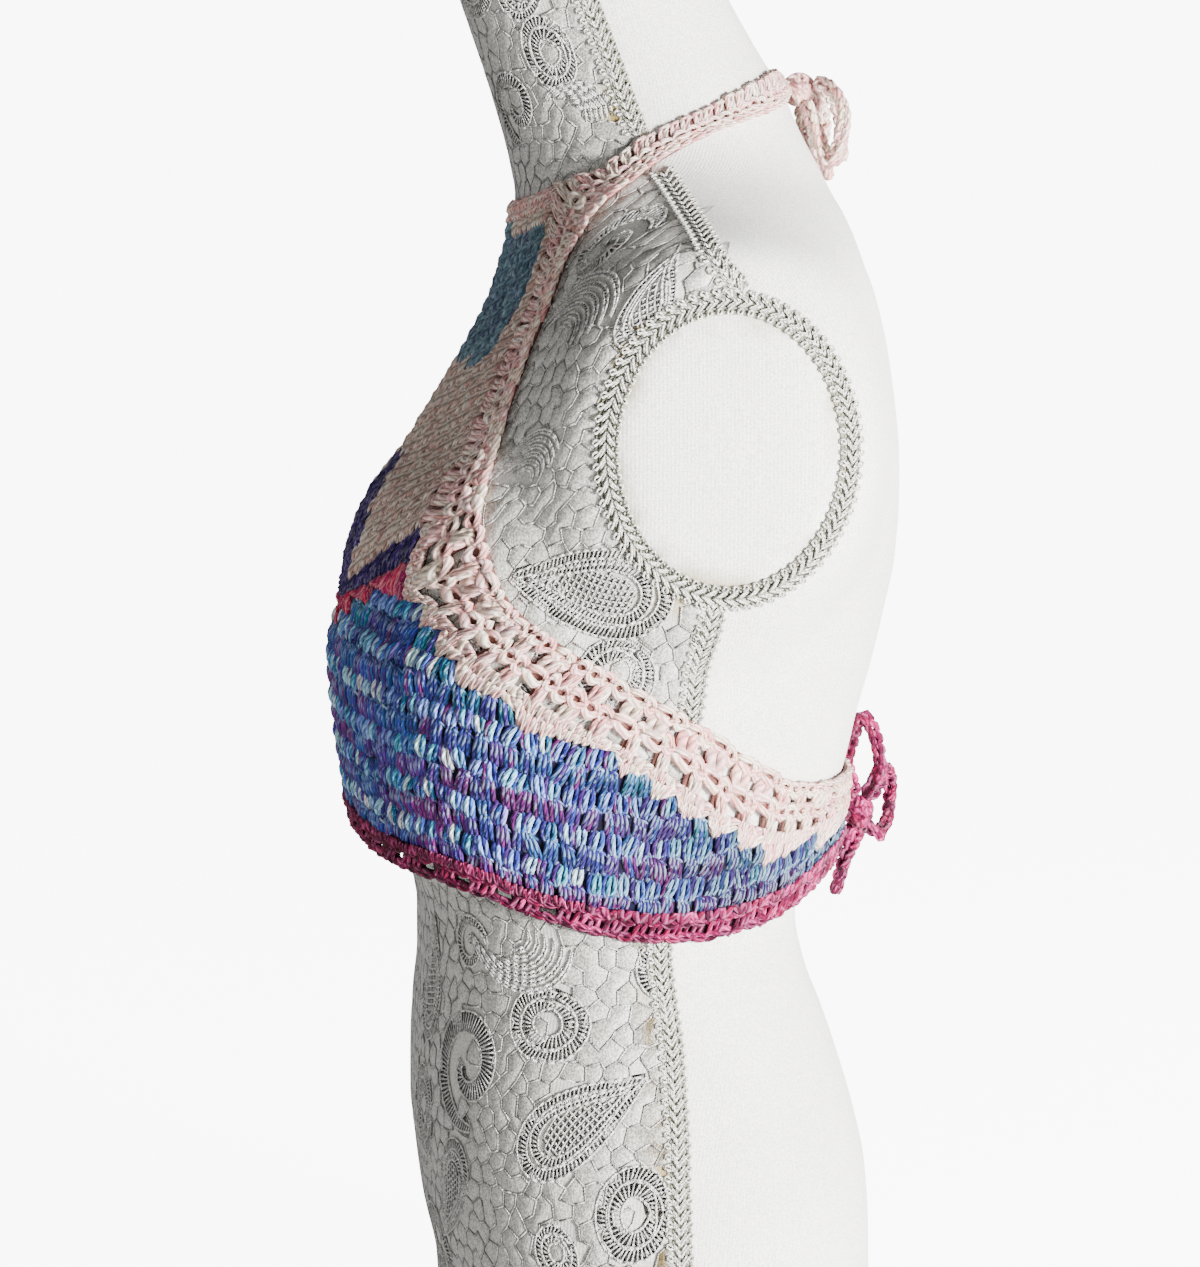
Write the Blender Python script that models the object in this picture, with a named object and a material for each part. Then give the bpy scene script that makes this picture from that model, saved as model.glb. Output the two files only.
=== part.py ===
"""A crochet halter top, worn by a limbless dress form.

The garment's front looks along -Y and the wearer's left side is +X.  The form
stands on z = 0.  Tables and sizes are in millimetres and are turned into
metres as the meshes are made.

A place on the cloth is given as (height, turn): the height above the floor,
and the share of the way round the body from centre front (0) to centre back
(1), positive on the wearer's left and negative on the right.
"""

import math
from collections import namedtuple

import bmesh
import bpy
import numpy as np
from mathutils import Matrix, Vector

MM = 0.001

# ------------------------------------------------------------ driving sizes
WALL = 2.6                # thickness of the crochet
CLEARANCE = 0.8           # from the form's skin to cloth that lies on it
SEAM_GAP = 0.3            # between two pieces that are worked together
SEAM_TURN = 0.0015        # the same gap, as a share of the half turn

BAND_END = 0.96           # turn at which the band stops beside centre back
CELL_TURN = 0.016         # width of one stitch group, as a turn
BAND_CELLS = 30           # columns of the band on each side, two groups wide
BIB_CELLS = 7             # those of them that lie under the bib
ROW_PITCH = 8.2           # height of one row of half treble stitches
ROW_RIDGE = 0.6           # how far every second row line stands out
STEP_RAMP = 0.005         # turn over which the next piece closes a step

HEM_WIDTH = 8.5           # height of the hem edging
HEM_ROWS = (0.0, 2.4, 6.0, 8.5)
HEM_RIDGE = 0.6
HEM_HOLE_END = 28         # stitch groups over which the hem edging is open
HEM_HOLE_PERIOD = 3       # one opening in so many stitch groups

LACE_ROOT = 6.5           # solid foot of the armhole edging above the band
LACE_ROWS = (0.0, 0.30, 0.52, 0.80, 1.0)
LACE_OPEN_ROWS = (3, 1)   # rows, above the foot, that hold the holes in turn
LACE_RIDGE = 0.5
HALF_GIRTH = 390.0        # typical length of the half turn at the bust

STRAP_RIDGE = 0.7         # two cords worked along the border and the strap

FORM_CELLS = 22           # facets of the form on each half turn
FORM_SIDE_BIAS = 0.35     # how much closer they lie at the sides
FORM_TOP = 631.0

PAD_REACH = 150.0         # half width of the form at the armhole pads
PLATE_THICKNESS = 7.0
PLATE_BEVEL = 2.0
ARM_CENTRE_Y = 28.0
ARM_CENTRE_Z = 415.0
PAD_HALF_DEPTH = 49.0
PAD_HALF_HEIGHT = 58.0
PAD_EASE = 1.6            # the pad blends into the side by this many radii
PLATE_HALF_DEPTH = 45.0
PLATE_HALF_HEIGHT = 54.0
PLATE_SEGMENTS = 40

TIE_DIAMETER = 5.2
TIE_POINT_SPACING = 1.6   # from ring to ring of a cord, in diameters
ROUTE_SAMPLES = 24        # on a cord's curve, between two of its points
KNOT_GAP = 0.6            # from a knot to the end of a cord that enters it
KNOT_SEGMENTS = (14, 9)   # round and up

OUTLINE_POINTS = 241      # on a half section
SHARP_ANGLE = 50          # degrees, past which an edge is shaded sharp

# One row for each level section of the torso.  front and back are distances
# from the axis, the powers square off the ellipse, the hangs are how far worn
# cloth stands away there, and cleavage is how deep the form dips between the
# cups under the cloth that spans them.
Section = namedtuple("Section", "height front back half_width front_power "
                     "back_power front_hang back_hang cleavage")
SECTIONS = (
    Section(0, 60, 105, 150, 2.3, 2.3, 0, 0, 0),
    Section(34, 69, 106, 156, 2.3, 2.3, 0, 0, 0),
    Section(65, 71, 107, 158, 2.3, 2.3, 0, 0, 0),
    Section(93, 77, 107, 155, 2.3, 2.3, 0, 0, 0),
    Section(115, 80, 106, 149, 2.3, 2.3, 0, 0, 0),
    Section(136, 82, 102, 142, 2.3, 2.3, 0, 0, 0),
    Section(157, 82, 96, 135, 2.3, 2.3, 0, 0, 0),
    Section(178, 81, 89, 129, 2.3, 2.3, 2, 1, 0),
    Section(199, 79, 81, 125, 2.3, 2.3, 10, 4, 0),
    Section(220, 79, 77, 124, 2.3, 2.3, 17, 9, 0),
    Section(237, 83, 80, 125, 2.3, 2.3, 18, 10, 0),
    Section(250, 90, 85, 128, 2.35, 2.3, 14, 8, 2),
    Section(263, 98, 91, 130, 2.4, 2.3, 8, 4, 4),
    Section(284, 107, 98, 134, 2.45, 2.3, 2.5, 0, 8),
    Section(305, 112, 103, 137, 2.5, 2.3, 0, 0, 12),
    Section(326, 113.5, 109, 139, 2.5, 2.3, 0, 0, 14),
    Section(347, 109, 114, 139, 2.5, 2.3, 0, 0, 14),
    Section(368, 105.5, 118, 139, 2.5, 2.35, 0, 0, 10),
    Section(389, 97.5, 119, 141, 2.5, 2.4, 0, 0, 6),
    Section(411, 81, 118, 143, 2.45, 2.45, 0, 0, 3),
    Section(432, 68, 115, 146, 2.4, 2.5, 0, 0, 0),
    Section(453, 55, 111, 149, 2.35, 2.5, 0, 0, 0),
    Section(474, 44.5, 106, 150, 2.2, 2.4, 0, 0, 0),
    Section(487, 40.5, 103, 143, 2.1, 2.2, 0, 0, 0),
    Section(497, 38, 102, 127, 2.0, 2.0, 0, 0, 0),
    Section(508, 37, 99, 106, 1.95, 1.9, 0, 0, 0),
    Section(518, 37, 94, 86, 1.9, 1.9, 0, 0, 0),
    Section(529, 39, 89, 71, 1.9, 1.9, 0, 0, 0),
    Section(542, 42, 82, 62, 1.95, 1.95, 0, 0, 0),
    Section(559, 47, 74, 58, 2, 2, 0, 0, 0),
    Section(580, 54, 61, 56, 2, 2, 0, 0, 0),
    Section(601, 61, 49, 56, 2, 2, 0, 0, 0),
    Section(631, 70, 33, 55, 2, 2, 0, 0, 0),
)
CLEAVAGE_HALF_WIDTH = 22.0

# Levels at which the form is lofted: from, to, and about how far apart.
LoftRun = namedtuple("LoftRun", "low high step")
LOFT_RUNS = (
    LoftRun(0, 336, 24),
    LoftRun(336, 480, 12),
    LoftRun(480, 545, 9.3),
    LoftRun(545, FORM_TOP, 21.5),
)

# Lines across the garment.
Line = namedtuple("Line", "turn height")
HEM_LINE = (
    Line(0, 255), Line(0.076, 254), Line(0.225, 248), Line(0.29, 245.2),
    Line(0.338, 241), Line(0.402, 233.2), Line(0.511, 224.3),
    Line(0.565, 223.6), Line(0.617, 226), Line(0.69, 231),
    Line(0.757, 238.8), Line(0.818, 243), Line(0.96, 246),
)
BAND_TOP = (
    Line(0, 338), Line(0.224, 355), Line(0.334, 328), Line(0.425, 306),
    Line(0.512, 288), Line(0.611, 263), Line(0.688, 256), Line(0.763, 258),
    Line(0.96, 260),
)
CORAL_TOP = (Line(0, 349), Line(0.12, 357), Line(0.226, 370))
VIOLET_TOP = (Line(0, 353), Line(0.12, 364), Line(0.226, 383.6))
NECK_LOW = (Line(0, 505), Line(0.11, 505.8), Line(0.2035, 508.5))
NECK_TOP = (Line(0, 513), Line(0.11, 514), Line(0.214, 517))
ARMHOLE_LINE = (
    Line(0.288, 390.6), Line(0.304, 380), Line(0.347, 357),
    Line(0.416, 340), Line(0.495, 324), Line(0.559, 310), Line(0.626, 294),
    Line(0.686, 284), Line(0.774, 281), Line(0.96, 281),
)

# The ribbed border of the bib, which goes on as the neck strap.  The outer
# edge is the armhole side, and the inner edge the bib and neck side.
Strap = namedtuple("Strap", "outer_height outer_turn inner_height inner_turn")
STRAP = (
    Strap(391, 0.288, 384, 0.2255),
    Strap(402, 0.273, 397, 0.2215),
    Strap(425, 0.257, 421, 0.214),
    Strap(453, 0.249, 450, 0.206),
    Strap(476, 0.251, 474, 0.204),
    Strap(489, 0.259, 492, 0.203),
    Strap(498, 0.274, 508.5, 0.2045),
    Strap(505, 0.299, 517, 0.215),
    Strap(511, 0.328, 519.5, 0.262),
    Strap(516, 0.365, 522, 0.318),
    Strap(526, 0.434, 535, 0.424),
    Strap(540, 0.589, 548, 0.583),
    Strap(551, 0.784, 561.5, 0.781),
    Strap(561.5, 0.982, 568, 0.982),
)
STRAP_FREE = 9            # row after which it lies on the neck alone
NECKLINE_ROW = 6          # row at which the bib ends and its edging begins

# First columns of the armhole edging, beside the ends of the two stripes.
Column = namedtuple("Column", "height turn upper_turn")
LACE_START = (
    Column(383.6, 0.2255, 0.288),
    Column(374, 0.2255, 0.296),
    Column(364.5, 0.2255, 0.304),
)
STRIPE_END = 0.2235
LACE_LEAN = (Line(0.224, 0.088), Line(0.30, 0.060), Line(0.40, 0.035),
             Line(0.50, 0.020), Line(0.60, 0.010), Line(0.75, 0.0),
             Line(0.96, 0.0))

# Knots, and the ways on which their cords leave them.
Knot = namedtuple("Knot", "centre radii")
BACK_KNOT = Knot((0, 109, 255), (8, 7, 7.5))
NAPE_KNOT = Knot((0, 81.6, 561), (8, 7, 7))

Point = namedtuple("Point", "x y z")
BACK_TIE = (Point(13.6, 96, 254.5), Point(11, 96.9, 254.6),
            Point(9, 100, 254.8))
BACK_LOOP_LEFT = (
    Point(6, 105, 268), Point(9, 102.5, 276), Point(12, 102.8, 285),
    Point(15, 104.2, 293), Point(17, 107, 298), Point(18, 111, 293),
    Point(17, 114, 284), Point(13, 116, 275), Point(7, 115.5, 267),
)
BACK_LOOP_RIGHT = (
    Point(-9, 117, 266), Point(-18, 122, 271), Point(-27, 127, 270),
    Point(-33, 130.5, 263), Point(-32, 130, 254), Point(-26, 127, 246.5),
    Point(-17, 122.5, 243), Point(-8, 118, 245.5),
)
BACK_TAIL_LEFT = (
    Point(8, 106.5, 246), Point(12.5, 103, 240.5), Point(16.5, 100, 235),
    Point(19.5, 97.5, 229.5), Point(21.5, 95, 223),
)
BACK_TAIL_RIGHT = (
    Point(-9, 106, 245), Point(-14.5, 102.5, 240), Point(-19, 100, 234.5),
    Point(-22, 98.5, 228.5), Point(-23.5, 97, 222.5),
)
NAPE_LOOP_LEFT = (
    Point(9, 91, 563), Point(14, 95, 559), Point(18, 97.5, 551),
    Point(20, 97, 542), Point(19, 94.5, 534), Point(16.5, 91.8, 530),
    Point(13, 89.5, 535), Point(11, 87.3, 543), Point(9, 85, 552),
)
NAPE_LOOP_RIGHT = (
    Point(-9, 90, 561.5), Point(-16, 94, 556), Point(-20, 96, 547),
    Point(-22, 95.5, 537), Point(-21, 94, 529), Point(-18, 93, 525.5),
    Point(-14, 91, 532), Point(-12, 88.3, 542), Point(-9.5, 85, 552.5),
)
NAPE_TAIL_LEFT = (
    Point(0.3, 93, 561.5), Point(0.8, 97.5, 557), Point(1.5, 99.8, 549),
    Point(2, 100, 540), Point(2.5, 99.5, 531),
)
NAPE_TAIL_RIGHT = (
    Point(0, 87.5, 548.5), Point(-3, 90.2, 540), Point(-6, 94.5, 530),
    Point(-7, 97, 524.5),
)

# ------------------------------------------------------------------ colours
Finish = namedtuple("Finish", "name colour roughness metallic")
LINEN = Finish("form_cover", (0.82, 0.81, 0.77), 0.75, 0.0)
KNIT = Finish("plate_cover", (0.90, 0.89, 0.86), 0.8, 0.0)
BLUE = Finish("blue_yarn", (0.27, 0.30, 0.60), 0.8, 0.0)
CORAL = Finish("coral_yarn", (0.72, 0.16, 0.26), 0.8, 0.0)
VIOLET = Finish("violet_yarn", (0.28, 0.24, 0.40), 0.8, 0.0)
PINK = Finish("pink_yarn", (0.88, 0.72, 0.69), 0.8, 0.0)
RASPBERRY = Finish("raspberry_yarn", (0.62, 0.10, 0.29), 0.8, 0.0)


class SmoothTable:
    """A monotone cubic through a short table, for lines and sections."""

    def __init__(self, places, values):
        self.places = np.asarray(places, dtype=float)
        self.values = np.asarray(values, dtype=float)
        widths = np.diff(self.places)
        rises = np.diff(self.values) / widths
        slopes = np.empty_like(self.values)
        slopes[0], slopes[-1] = rises[0], rises[-1]
        for i in range(1, len(slopes) - 1):
            before, after = rises[i - 1], rises[i]
            if before * after <= 0:
                slopes[i] = 0.0
                continue
            near = 2 * widths[i] + widths[i - 1]
            far = widths[i] + 2 * widths[i - 1]
            slopes[i] = (near + far) / (near / before + far / after)
        self.slopes = slopes

    def __call__(self, place):
        last = len(self.places) - 2
        i = int(np.clip(np.searchsorted(self.places, place) - 1, 0, last))
        width = self.places[i + 1] - self.places[i]
        s = float(np.clip((place - self.places[i]) / width, 0, 1))
        return ((1 + 2 * s) * (1 - s) ** 2 * self.values[i]
                + s * (1 - s) ** 2 * width * self.slopes[i]
                + s * s * (3 - 2 * s) * self.values[i + 1]
                - s * s * (1 - s) * width * self.slopes[i + 1])


def line_table(line):
    return SmoothTable([p[0] for p in line], [p[1] for p in line])


hem_height = line_table(HEM_LINE)
band_line = line_table(BAND_TOP)
coral_height = line_table(CORAL_TOP)
violet_height = line_table(VIOLET_TOP)
neck_low_height = line_table(NECK_LOW)
neck_top_height = line_table(NECK_TOP)
armhole_height = line_table(ARMHOLE_LINE)
lace_lean = line_table(LACE_LEAN)


class Body:
    """The torso's skin, and the surface that worn cloth follows over it."""

    def __init__(self, sections):
        heights = [s.height for s in sections]
        self.columns = {
            name: SmoothTable(heights, [getattr(s, name) for s in sections])
            for name in Section._fields[1:]
        }
        self.outlines = {}

    def outline(self, height, worn):
        """Half section as arrays of turn, x and y, front to back."""
        key = (round(height, 3), worn)
        if key in self.outlines:
            return self.outlines[key]
        at = {name: table(height) for name, table in self.columns.items()}
        angle = np.linspace(0, math.pi, OUTLINE_POINTS)
        sine, cosine = np.abs(np.sin(angle)), np.cos(angle)
        is_front = cosine > 0
        power = np.where(is_front, at["front_power"], at["back_power"])
        x = at["half_width"] * sine ** (2 / power)
        middle = 0.5 * (at["back"] - at["front"])
        depth = 0.5 * (at["back"] + at["front"])
        hang = np.where(is_front, at["front_hang"], at["back_hang"])
        reach = depth + (hang if worn else 0.0)
        y = middle - np.sign(cosine) * reach * np.abs(cosine) ** (2 / power)
        if not worn:
            dip = at["cleavage"] * np.exp(-(x / CLEAVAGE_HALF_WIDTH) ** 2)
            y = y + np.where(is_front, dip, 0.0)
        radius = np.hypot((y - ARM_CENTRE_Y) / PAD_HALF_DEPTH,
                          (height - ARM_CENTRE_Z) / PAD_HALF_HEIGHT)
        ease = np.clip((radius - 1) / (PAD_EASE - 1), 0, 1)
        blend = 1 - ease * ease * (3 - 2 * ease)
        x = x + blend * np.clip(PAD_REACH - x, 0, None)
        turn = np.concatenate([[0], np.cumsum(np.hypot(np.diff(x), np.diff(y)))])
        self.outlines[key] = (turn / turn[-1], x, y)
        return self.outlines[key]

    def point(self, height, turn, worn=True):
        if abs(turn) > 1:
            turn -= math.copysign(2, turn)
        share, x, y = self.outline(height, worn)
        side = math.copysign(1, turn)
        return Vector((side * np.interp(abs(turn), share, x),
                       np.interp(abs(turn), share, y), height))

    def normal(self, height, turn):
        rise, step = 1.5, 0.006
        along = self.point(height, turn + step) - self.point(height, turn - step)
        upward = self.point(height + rise, turn) - self.point(height - rise, turn)
        return along.cross(upward).normalized()


body = Body(SECTIONS)


# ----------------------------------------------------------- making objects
def new_material(finish):
    material = bpy.data.materials.get(finish.name)
    if material is None:
        material = bpy.data.materials.new(finish.name)
        material.use_nodes = True
        shader = material.node_tree.nodes["Principled BSDF"]
        shader.inputs["Base Color"].default_value = (*finish.colour, 1)
        shader.inputs["Roughness"].default_value = finish.roughness
        shader.inputs["Metallic"].default_value = finish.metallic
    return material


def new_object(name, shape, finish):
    """Turns a closed bmesh in millimetres into a smooth-shaded object."""
    bmesh.ops.scale(shape, vec=(MM, MM, MM), verts=shape.verts)
    bmesh.ops.recalc_face_normals(shape, faces=shape.faces)
    mesh = bpy.data.meshes.new(name)
    shape.to_mesh(mesh)
    shape.free()
    mesh.shade_smooth()
    mesh.set_sharp_from_angle(angle=math.radians(SHARP_ANGLE))
    mesh.materials.append(new_material(finish))
    item = bpy.data.objects.new(name, mesh)
    bpy.context.collection.objects.link(item)
    return item


def cloth_wall(name, columns, finish, ridge, holes=(), side=1):
    """A crochet wall over the body, from columns of (height, turn) places.

    ridge gives how far each row line stands out, and holes the (column, row)
    cells that stay open.
    """
    across, up = len(columns) - 1, len(columns[0]) - 1
    sheet = bmesh.new()
    bmesh.ops.create_grid(sheet, x_segments=across, y_segments=up, size=0.5)
    outward = sheet.verts.layers.float_vector.new("outward")
    closed = []
    for face in sheet.faces:
        middle = face.calc_center_median()
        cell = (int((middle.x + 0.5) * across), int((middle.y + 0.5) * up))
        if cell in holes:
            closed.append(face)
    bmesh.ops.delete(sheet, geom=closed, context="FACES")
    for vertex in sheet.verts:
        column = round((vertex.co.x + 0.5) * across)
        row = round((vertex.co.y + 0.5) * up)
        height, turn = columns[column][row]
        normal = body.normal(height, side * turn)
        vertex.co = body.point(height, side * turn) + CLEARANCE * normal
        vertex[outward] = (WALL + ridge[row]) * normal
    raised = bmesh.ops.extrude_face_region(
        sheet, geom=sheet.faces[:], use_keep_orig=True)
    for element in raised["geom"]:
        if isinstance(element, bmesh.types.BMVert):
            element.co += element[outward]
    return new_object(name, sheet, finish)


# ------------------------------------------------------------ the dress form
def loft_levels():
    levels = []
    for run in LOFT_RUNS:
        count = round((run.high - run.low) / run.step)
        levels.extend(np.linspace(run.low, run.high, count, endpoint=False))
    return levels + [FORM_TOP]


def form_turns():
    share = np.linspace(-1, 1, 2 * FORM_CELLS, endpoint=False)
    bias = FORM_SIDE_BIAS * np.sin(2 * math.pi * share) / (2 * math.pi)
    return share + bias


def make_dress_form():
    turns = form_turns()
    levels = loft_levels()
    torso = bmesh.new()
    base = bmesh.ops.create_circle(torso, segments=len(turns), radius=1)
    ring = base["verts"]
    for vertex, turn in zip(ring, turns):
        vertex.co = body.point(levels[0], turn, worn=False)
    edges = torso.edges[:]
    bmesh.ops.contextual_create(torso, geom=edges)
    for level in levels[1:]:
        grown = bmesh.ops.extrude_edge_only(torso, edges=edges)
        before = {tuple(v.co): i for i, v in enumerate(ring)}
        fresh = [e for e in grown["geom"] if isinstance(e, bmesh.types.BMVert)]
        edges = [e for e in grown["geom"] if isinstance(e, bmesh.types.BMEdge)]
        fresh.sort(key=lambda v: before[tuple(v.co)])
        for vertex, turn in zip(fresh, turns):
            vertex.co = body.point(level, turn, worn=False)
        ring = fresh
    bmesh.ops.contextual_create(torso, geom=edges)
    new_object("dress_form", torso, LINEN)


def make_armhole_plate(name, side):
    plate = bmesh.new()
    bmesh.ops.create_circle(plate, cap_ends=True, segments=PLATE_SEGMENTS,
                            radius=1)
    bmesh.ops.scale(plate, vec=(PLATE_HALF_HEIGHT, PLATE_HALF_DEPTH, 1),
                    verts=plate.verts)
    raised = bmesh.ops.extrude_face_region(
        plate, geom=plate.faces[:], use_keep_orig=True)
    top = [v for v in raised["geom"] if isinstance(v, bmesh.types.BMVert)]
    bmesh.ops.translate(plate, vec=(0, 0, PLATE_THICKNESS), verts=top)
    rim = [e for e in plate.edges if all(v in top for v in e.verts)]
    bmesh.ops.bevel(plate, geom=rim, offset=PLATE_BEVEL, segments=2,
                    profile=0.5, affect="EDGES", material=-1)
    turn = Matrix.Rotation(side * math.pi / 2, 4, "Y")
    bmesh.ops.transform(plate, matrix=turn, verts=plate.verts)
    seat = side * (PAD_REACH + SEAM_GAP)
    bmesh.ops.translate(plate, vec=(seat, ARM_CENTRE_Y, ARM_CENTRE_Z),
                        verts=plate.verts)
    new_object(name, plate, KNIT)


# ------------------------------------------------------------ the blue band
def row_count(cell):
    """Rows of the band in one of its cells, counted from centre front."""
    turn = (cell + 0.5) * 2 * CELL_TURN
    foot = hem_height(turn) + HEM_WIDTH + SEAM_GAP
    return max(1, round((band_line(turn) - foot) / ROW_PITCH))


def row_height(turn, row):
    return hem_height(turn) + HEM_WIDTH + SEAM_GAP + row * ROW_PITCH


def make_body_band():
    rows = max(row_count(cell) for cell in range(BAND_CELLS))
    columns = []
    for i in range(-BAND_CELLS, BAND_CELLS + 1):
        turn = i * 2 * CELL_TURN
        columns.append([(row_height(abs(turn), row), turn)
                        for row in range(rows + 1)])
    open_cells = set()
    for i in range(2 * BAND_CELLS):
        cell = i - BAND_CELLS if i >= BAND_CELLS else BAND_CELLS - 1 - i
        for row in range(row_count(cell), rows):
            open_cells.add((i, row))
    ridge = [ROW_RIDGE * (row % 2) for row in range(rows + 1)]
    cloth_wall("body_band", columns, BLUE, ridge, open_cells)


def step_places(column, before, after):
    """Foot of the next piece where the band's rows step up or down.

    The foot stays on the low side of the step, clear of the band's corner.
    """
    turn = column * 2 * CELL_TURN
    high, low = max(before, after), min(before, after)
    if high == low:
        return [(row_height(turn, high) + SEAM_GAP, turn)]
    side = 1 if before > after else -1
    corner = turn + side * SEAM_TURN
    foot = turn + side * STEP_RAMP
    pair = [(row_height(corner, high) + SEAM_GAP, corner),
            (row_height(foot, low) + SEAM_GAP, foot)]
    return pair if side > 0 else pair[::-1]


# ------------------------------------------------- stripes, bib and neckline
def mirrored(half):
    """Completes columns from centre front outwards to both sides."""
    other = [[(height, -turn) for height, turn in column]
             for column in half[:0:-1]]
    return other + half


def make_stripes():
    feet = [(row_height(0, row_count(0)) + SEAM_GAP, 0.0)]
    for column in range(1, BIB_CELLS):
        feet += step_places(column, row_count(column - 1), row_count(column))
    last_row = row_count(BIB_CELLS - 1)
    feet.append((row_height(STRIPE_END, last_row) + SEAM_GAP, STRIPE_END))
    coral = [[(foot, turn), (coral_height(turn), turn)] for foot, turn in feet]
    cloth_wall("coral_stripe", mirrored(coral), CORAL, (0, 0))
    violet = []
    for i in range(BIB_CELLS + 1):
        turn = STRIPE_END * i / BIB_CELLS
        violet.append([(coral_height(turn) + SEAM_GAP, turn),
                       (violet_height(turn), turn)])
    cloth_wall("violet_stripe", mirrored(violet), VIOLET, (0, 0))


def strap_place(row, edge):
    """(height, turn) on the strap's outer or inner edge at a table row."""
    rows = range(len(STRAP))
    height = SmoothTable(rows, [getattr(s, edge + "_height") for s in STRAP])
    turn = SmoothTable(rows, [getattr(s, edge + "_turn") for s in STRAP])
    return height(row), turn(row)


def make_bib():
    rows = np.arange(0, NECKLINE_ROW + 0.5, 0.5)
    edge = [strap_place(row, "inner") for row in rows]
    foot = violet_height(STRIPE_END) + SEAM_GAP
    crown = edge[-1][0]
    half = []
    for i in range(BIB_CELLS + 1):
        share = i / BIB_CELLS
        low = violet_height(share * STRIPE_END) + SEAM_GAP
        high = neck_low_height(share * edge[-1][1])
        column = []
        for height, turn in edge:
            rise = np.clip((height - foot) / (crown - foot), 0, 1)
            column.append((low + rise * (high - low),
                           share * (turn - SEAM_TURN)))
        half.append(column)
    cloth_wall("bib", mirrored(half), PINK, [0] * len(rows))
    edging = []
    for i in range(BIB_CELLS + 1):
        share = i / BIB_CELLS
        column = []
        for row in (NECKLINE_ROW, NECKLINE_ROW + 0.5, NECKLINE_ROW + 1):
            turn = share * (strap_place(row, "inner")[1] - SEAM_TURN)
            low = neck_low_height(turn) + SEAM_GAP
            high = neck_top_height(turn)
            column.append((low + (row - NECKLINE_ROW) * (high - low), turn))
        edging.append(column)
    cloth_wall("neckline_edging", mirrored(edging), PINK,
               (0, STRAP_RIDGE, 0))


def make_neck_strap(name, side):
    rows = np.concatenate([np.arange(0, STRAP_FREE, 0.5),
                           np.arange(STRAP_FREE, len(STRAP) - 0.9, 0.25)])
    columns = []
    for row in rows:
        outer = np.array(strap_place(row, "outer"))
        inner = np.array(strap_place(row, "inner"))
        columns.append([tuple(outer + share * (inner - outer))
                        for share in (0, 0.25, 0.5, 0.75, 1)])
    cloth_wall(name, columns, PINK, (0, STRAP_RIDGE, 0, STRAP_RIDGE, 0),
               side=side)


# ---------------------------------------------------------- openwork edgings
def lace_column(foot, smooth_foot, turn, upper_turn):
    """Row lines of the armhole edging from its foot to the armhole."""
    low = np.array((smooth_foot, turn))
    high = np.array((armhole_height(upper_turn), upper_turn))
    width = math.hypot(high[0] - low[0], (high[1] - low[1]) * HALF_GIRTH)
    root = low + (high - low) * LACE_ROOT / width
    lines = [tuple(root + share * (high - root)) for share in LACE_ROWS]
    return [(foot, turn)] + lines


def make_armhole_edging(name, side):
    columns, groups = [], []
    for group, start in enumerate(LACE_START):
        columns.append(lace_column(start.height, start.height, start.turn,
                                   start.upper_turn))
        groups.append(group)
    first = 2 * BIB_CELLS
    corner = LACE_START[-1].turn
    corner_foot = row_height(corner, row_count(BIB_CELLS)) + SEAM_GAP
    columns.append(lace_column(corner_foot, band_line(corner), corner,
                               corner + lace_lean(corner)))
    groups.append(len(LACE_START))
    for i in range(first + 1, 2 * BAND_CELLS + 1):
        if i % 2 or i == 2 * BAND_CELLS:
            cell = min(i // 2, BAND_CELLS - 1)
            turn = i * CELL_TURN
            feet = [(row_height(turn, row_count(cell)) + SEAM_GAP, turn)]
        else:
            feet = step_places(i // 2, row_count(i // 2 - 1), row_count(i // 2))
        for place, (foot, turn) in enumerate(feet):
            columns.append(lace_column(foot, band_line(turn) + SEAM_GAP, turn,
                                       min(turn + lace_lean(turn), BAND_END)))
            groups.append(i if place == len(feet) - 1 else None)
    holes = set()
    for cell, group in enumerate(groups[:-1]):
        if group is not None and cell < len(groups) - 2:
            holes.add((cell, LACE_OPEN_ROWS[group % 2]))
    ridge = (0, LACE_RIDGE, 0, LACE_RIDGE, 0, LACE_RIDGE)
    cloth_wall(name, columns, PINK, ridge, holes, side=side)


def make_hem_edging(name, side):
    groups = list(range(HEM_HOLE_END)) + list(
        range(HEM_HOLE_END, 2 * BAND_CELLS + 1, 2))
    columns, holes = [], set()
    for cell, group in enumerate(groups):
        turn = max(group * CELL_TURN, 0.5 * SEAM_TURN)
        columns.append([(hem_height(turn) + row, turn) for row in HEM_ROWS])
        if group < HEM_HOLE_END - 1 and group % HEM_HOLE_PERIOD == 1:
            holes.add((cell, 1))
    cloth_wall(name, columns, RASPBERRY, (0, HEM_RIDGE, HEM_RIDGE, 0), holes,
               side=side)


# --------------------------------------------------------------- ties and bows
def make_knot(name, knot, finish):
    lump = bmesh.new()
    round_it, up = KNOT_SEGMENTS
    bmesh.ops.create_uvsphere(lump, u_segments=round_it, v_segments=up,
                              radius=1)
    bmesh.ops.scale(lump, vec=knot.radii, verts=lump.verts)
    bmesh.ops.translate(lump, vec=knot.centre, verts=lump.verts)
    new_object(name, lump, finish)


def off_knot(knot, towards):
    """Point just off the knot's skin, on the way to a point of the cord."""
    way = (Vector(towards) - Vector(knot.centre)).normalized()
    depth = 1 / math.sqrt(sum((w / r) ** 2 for w, r in zip(way, knot.radii)))
    return Vector(knot.centre) + way * (depth + KNOT_GAP)


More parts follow.
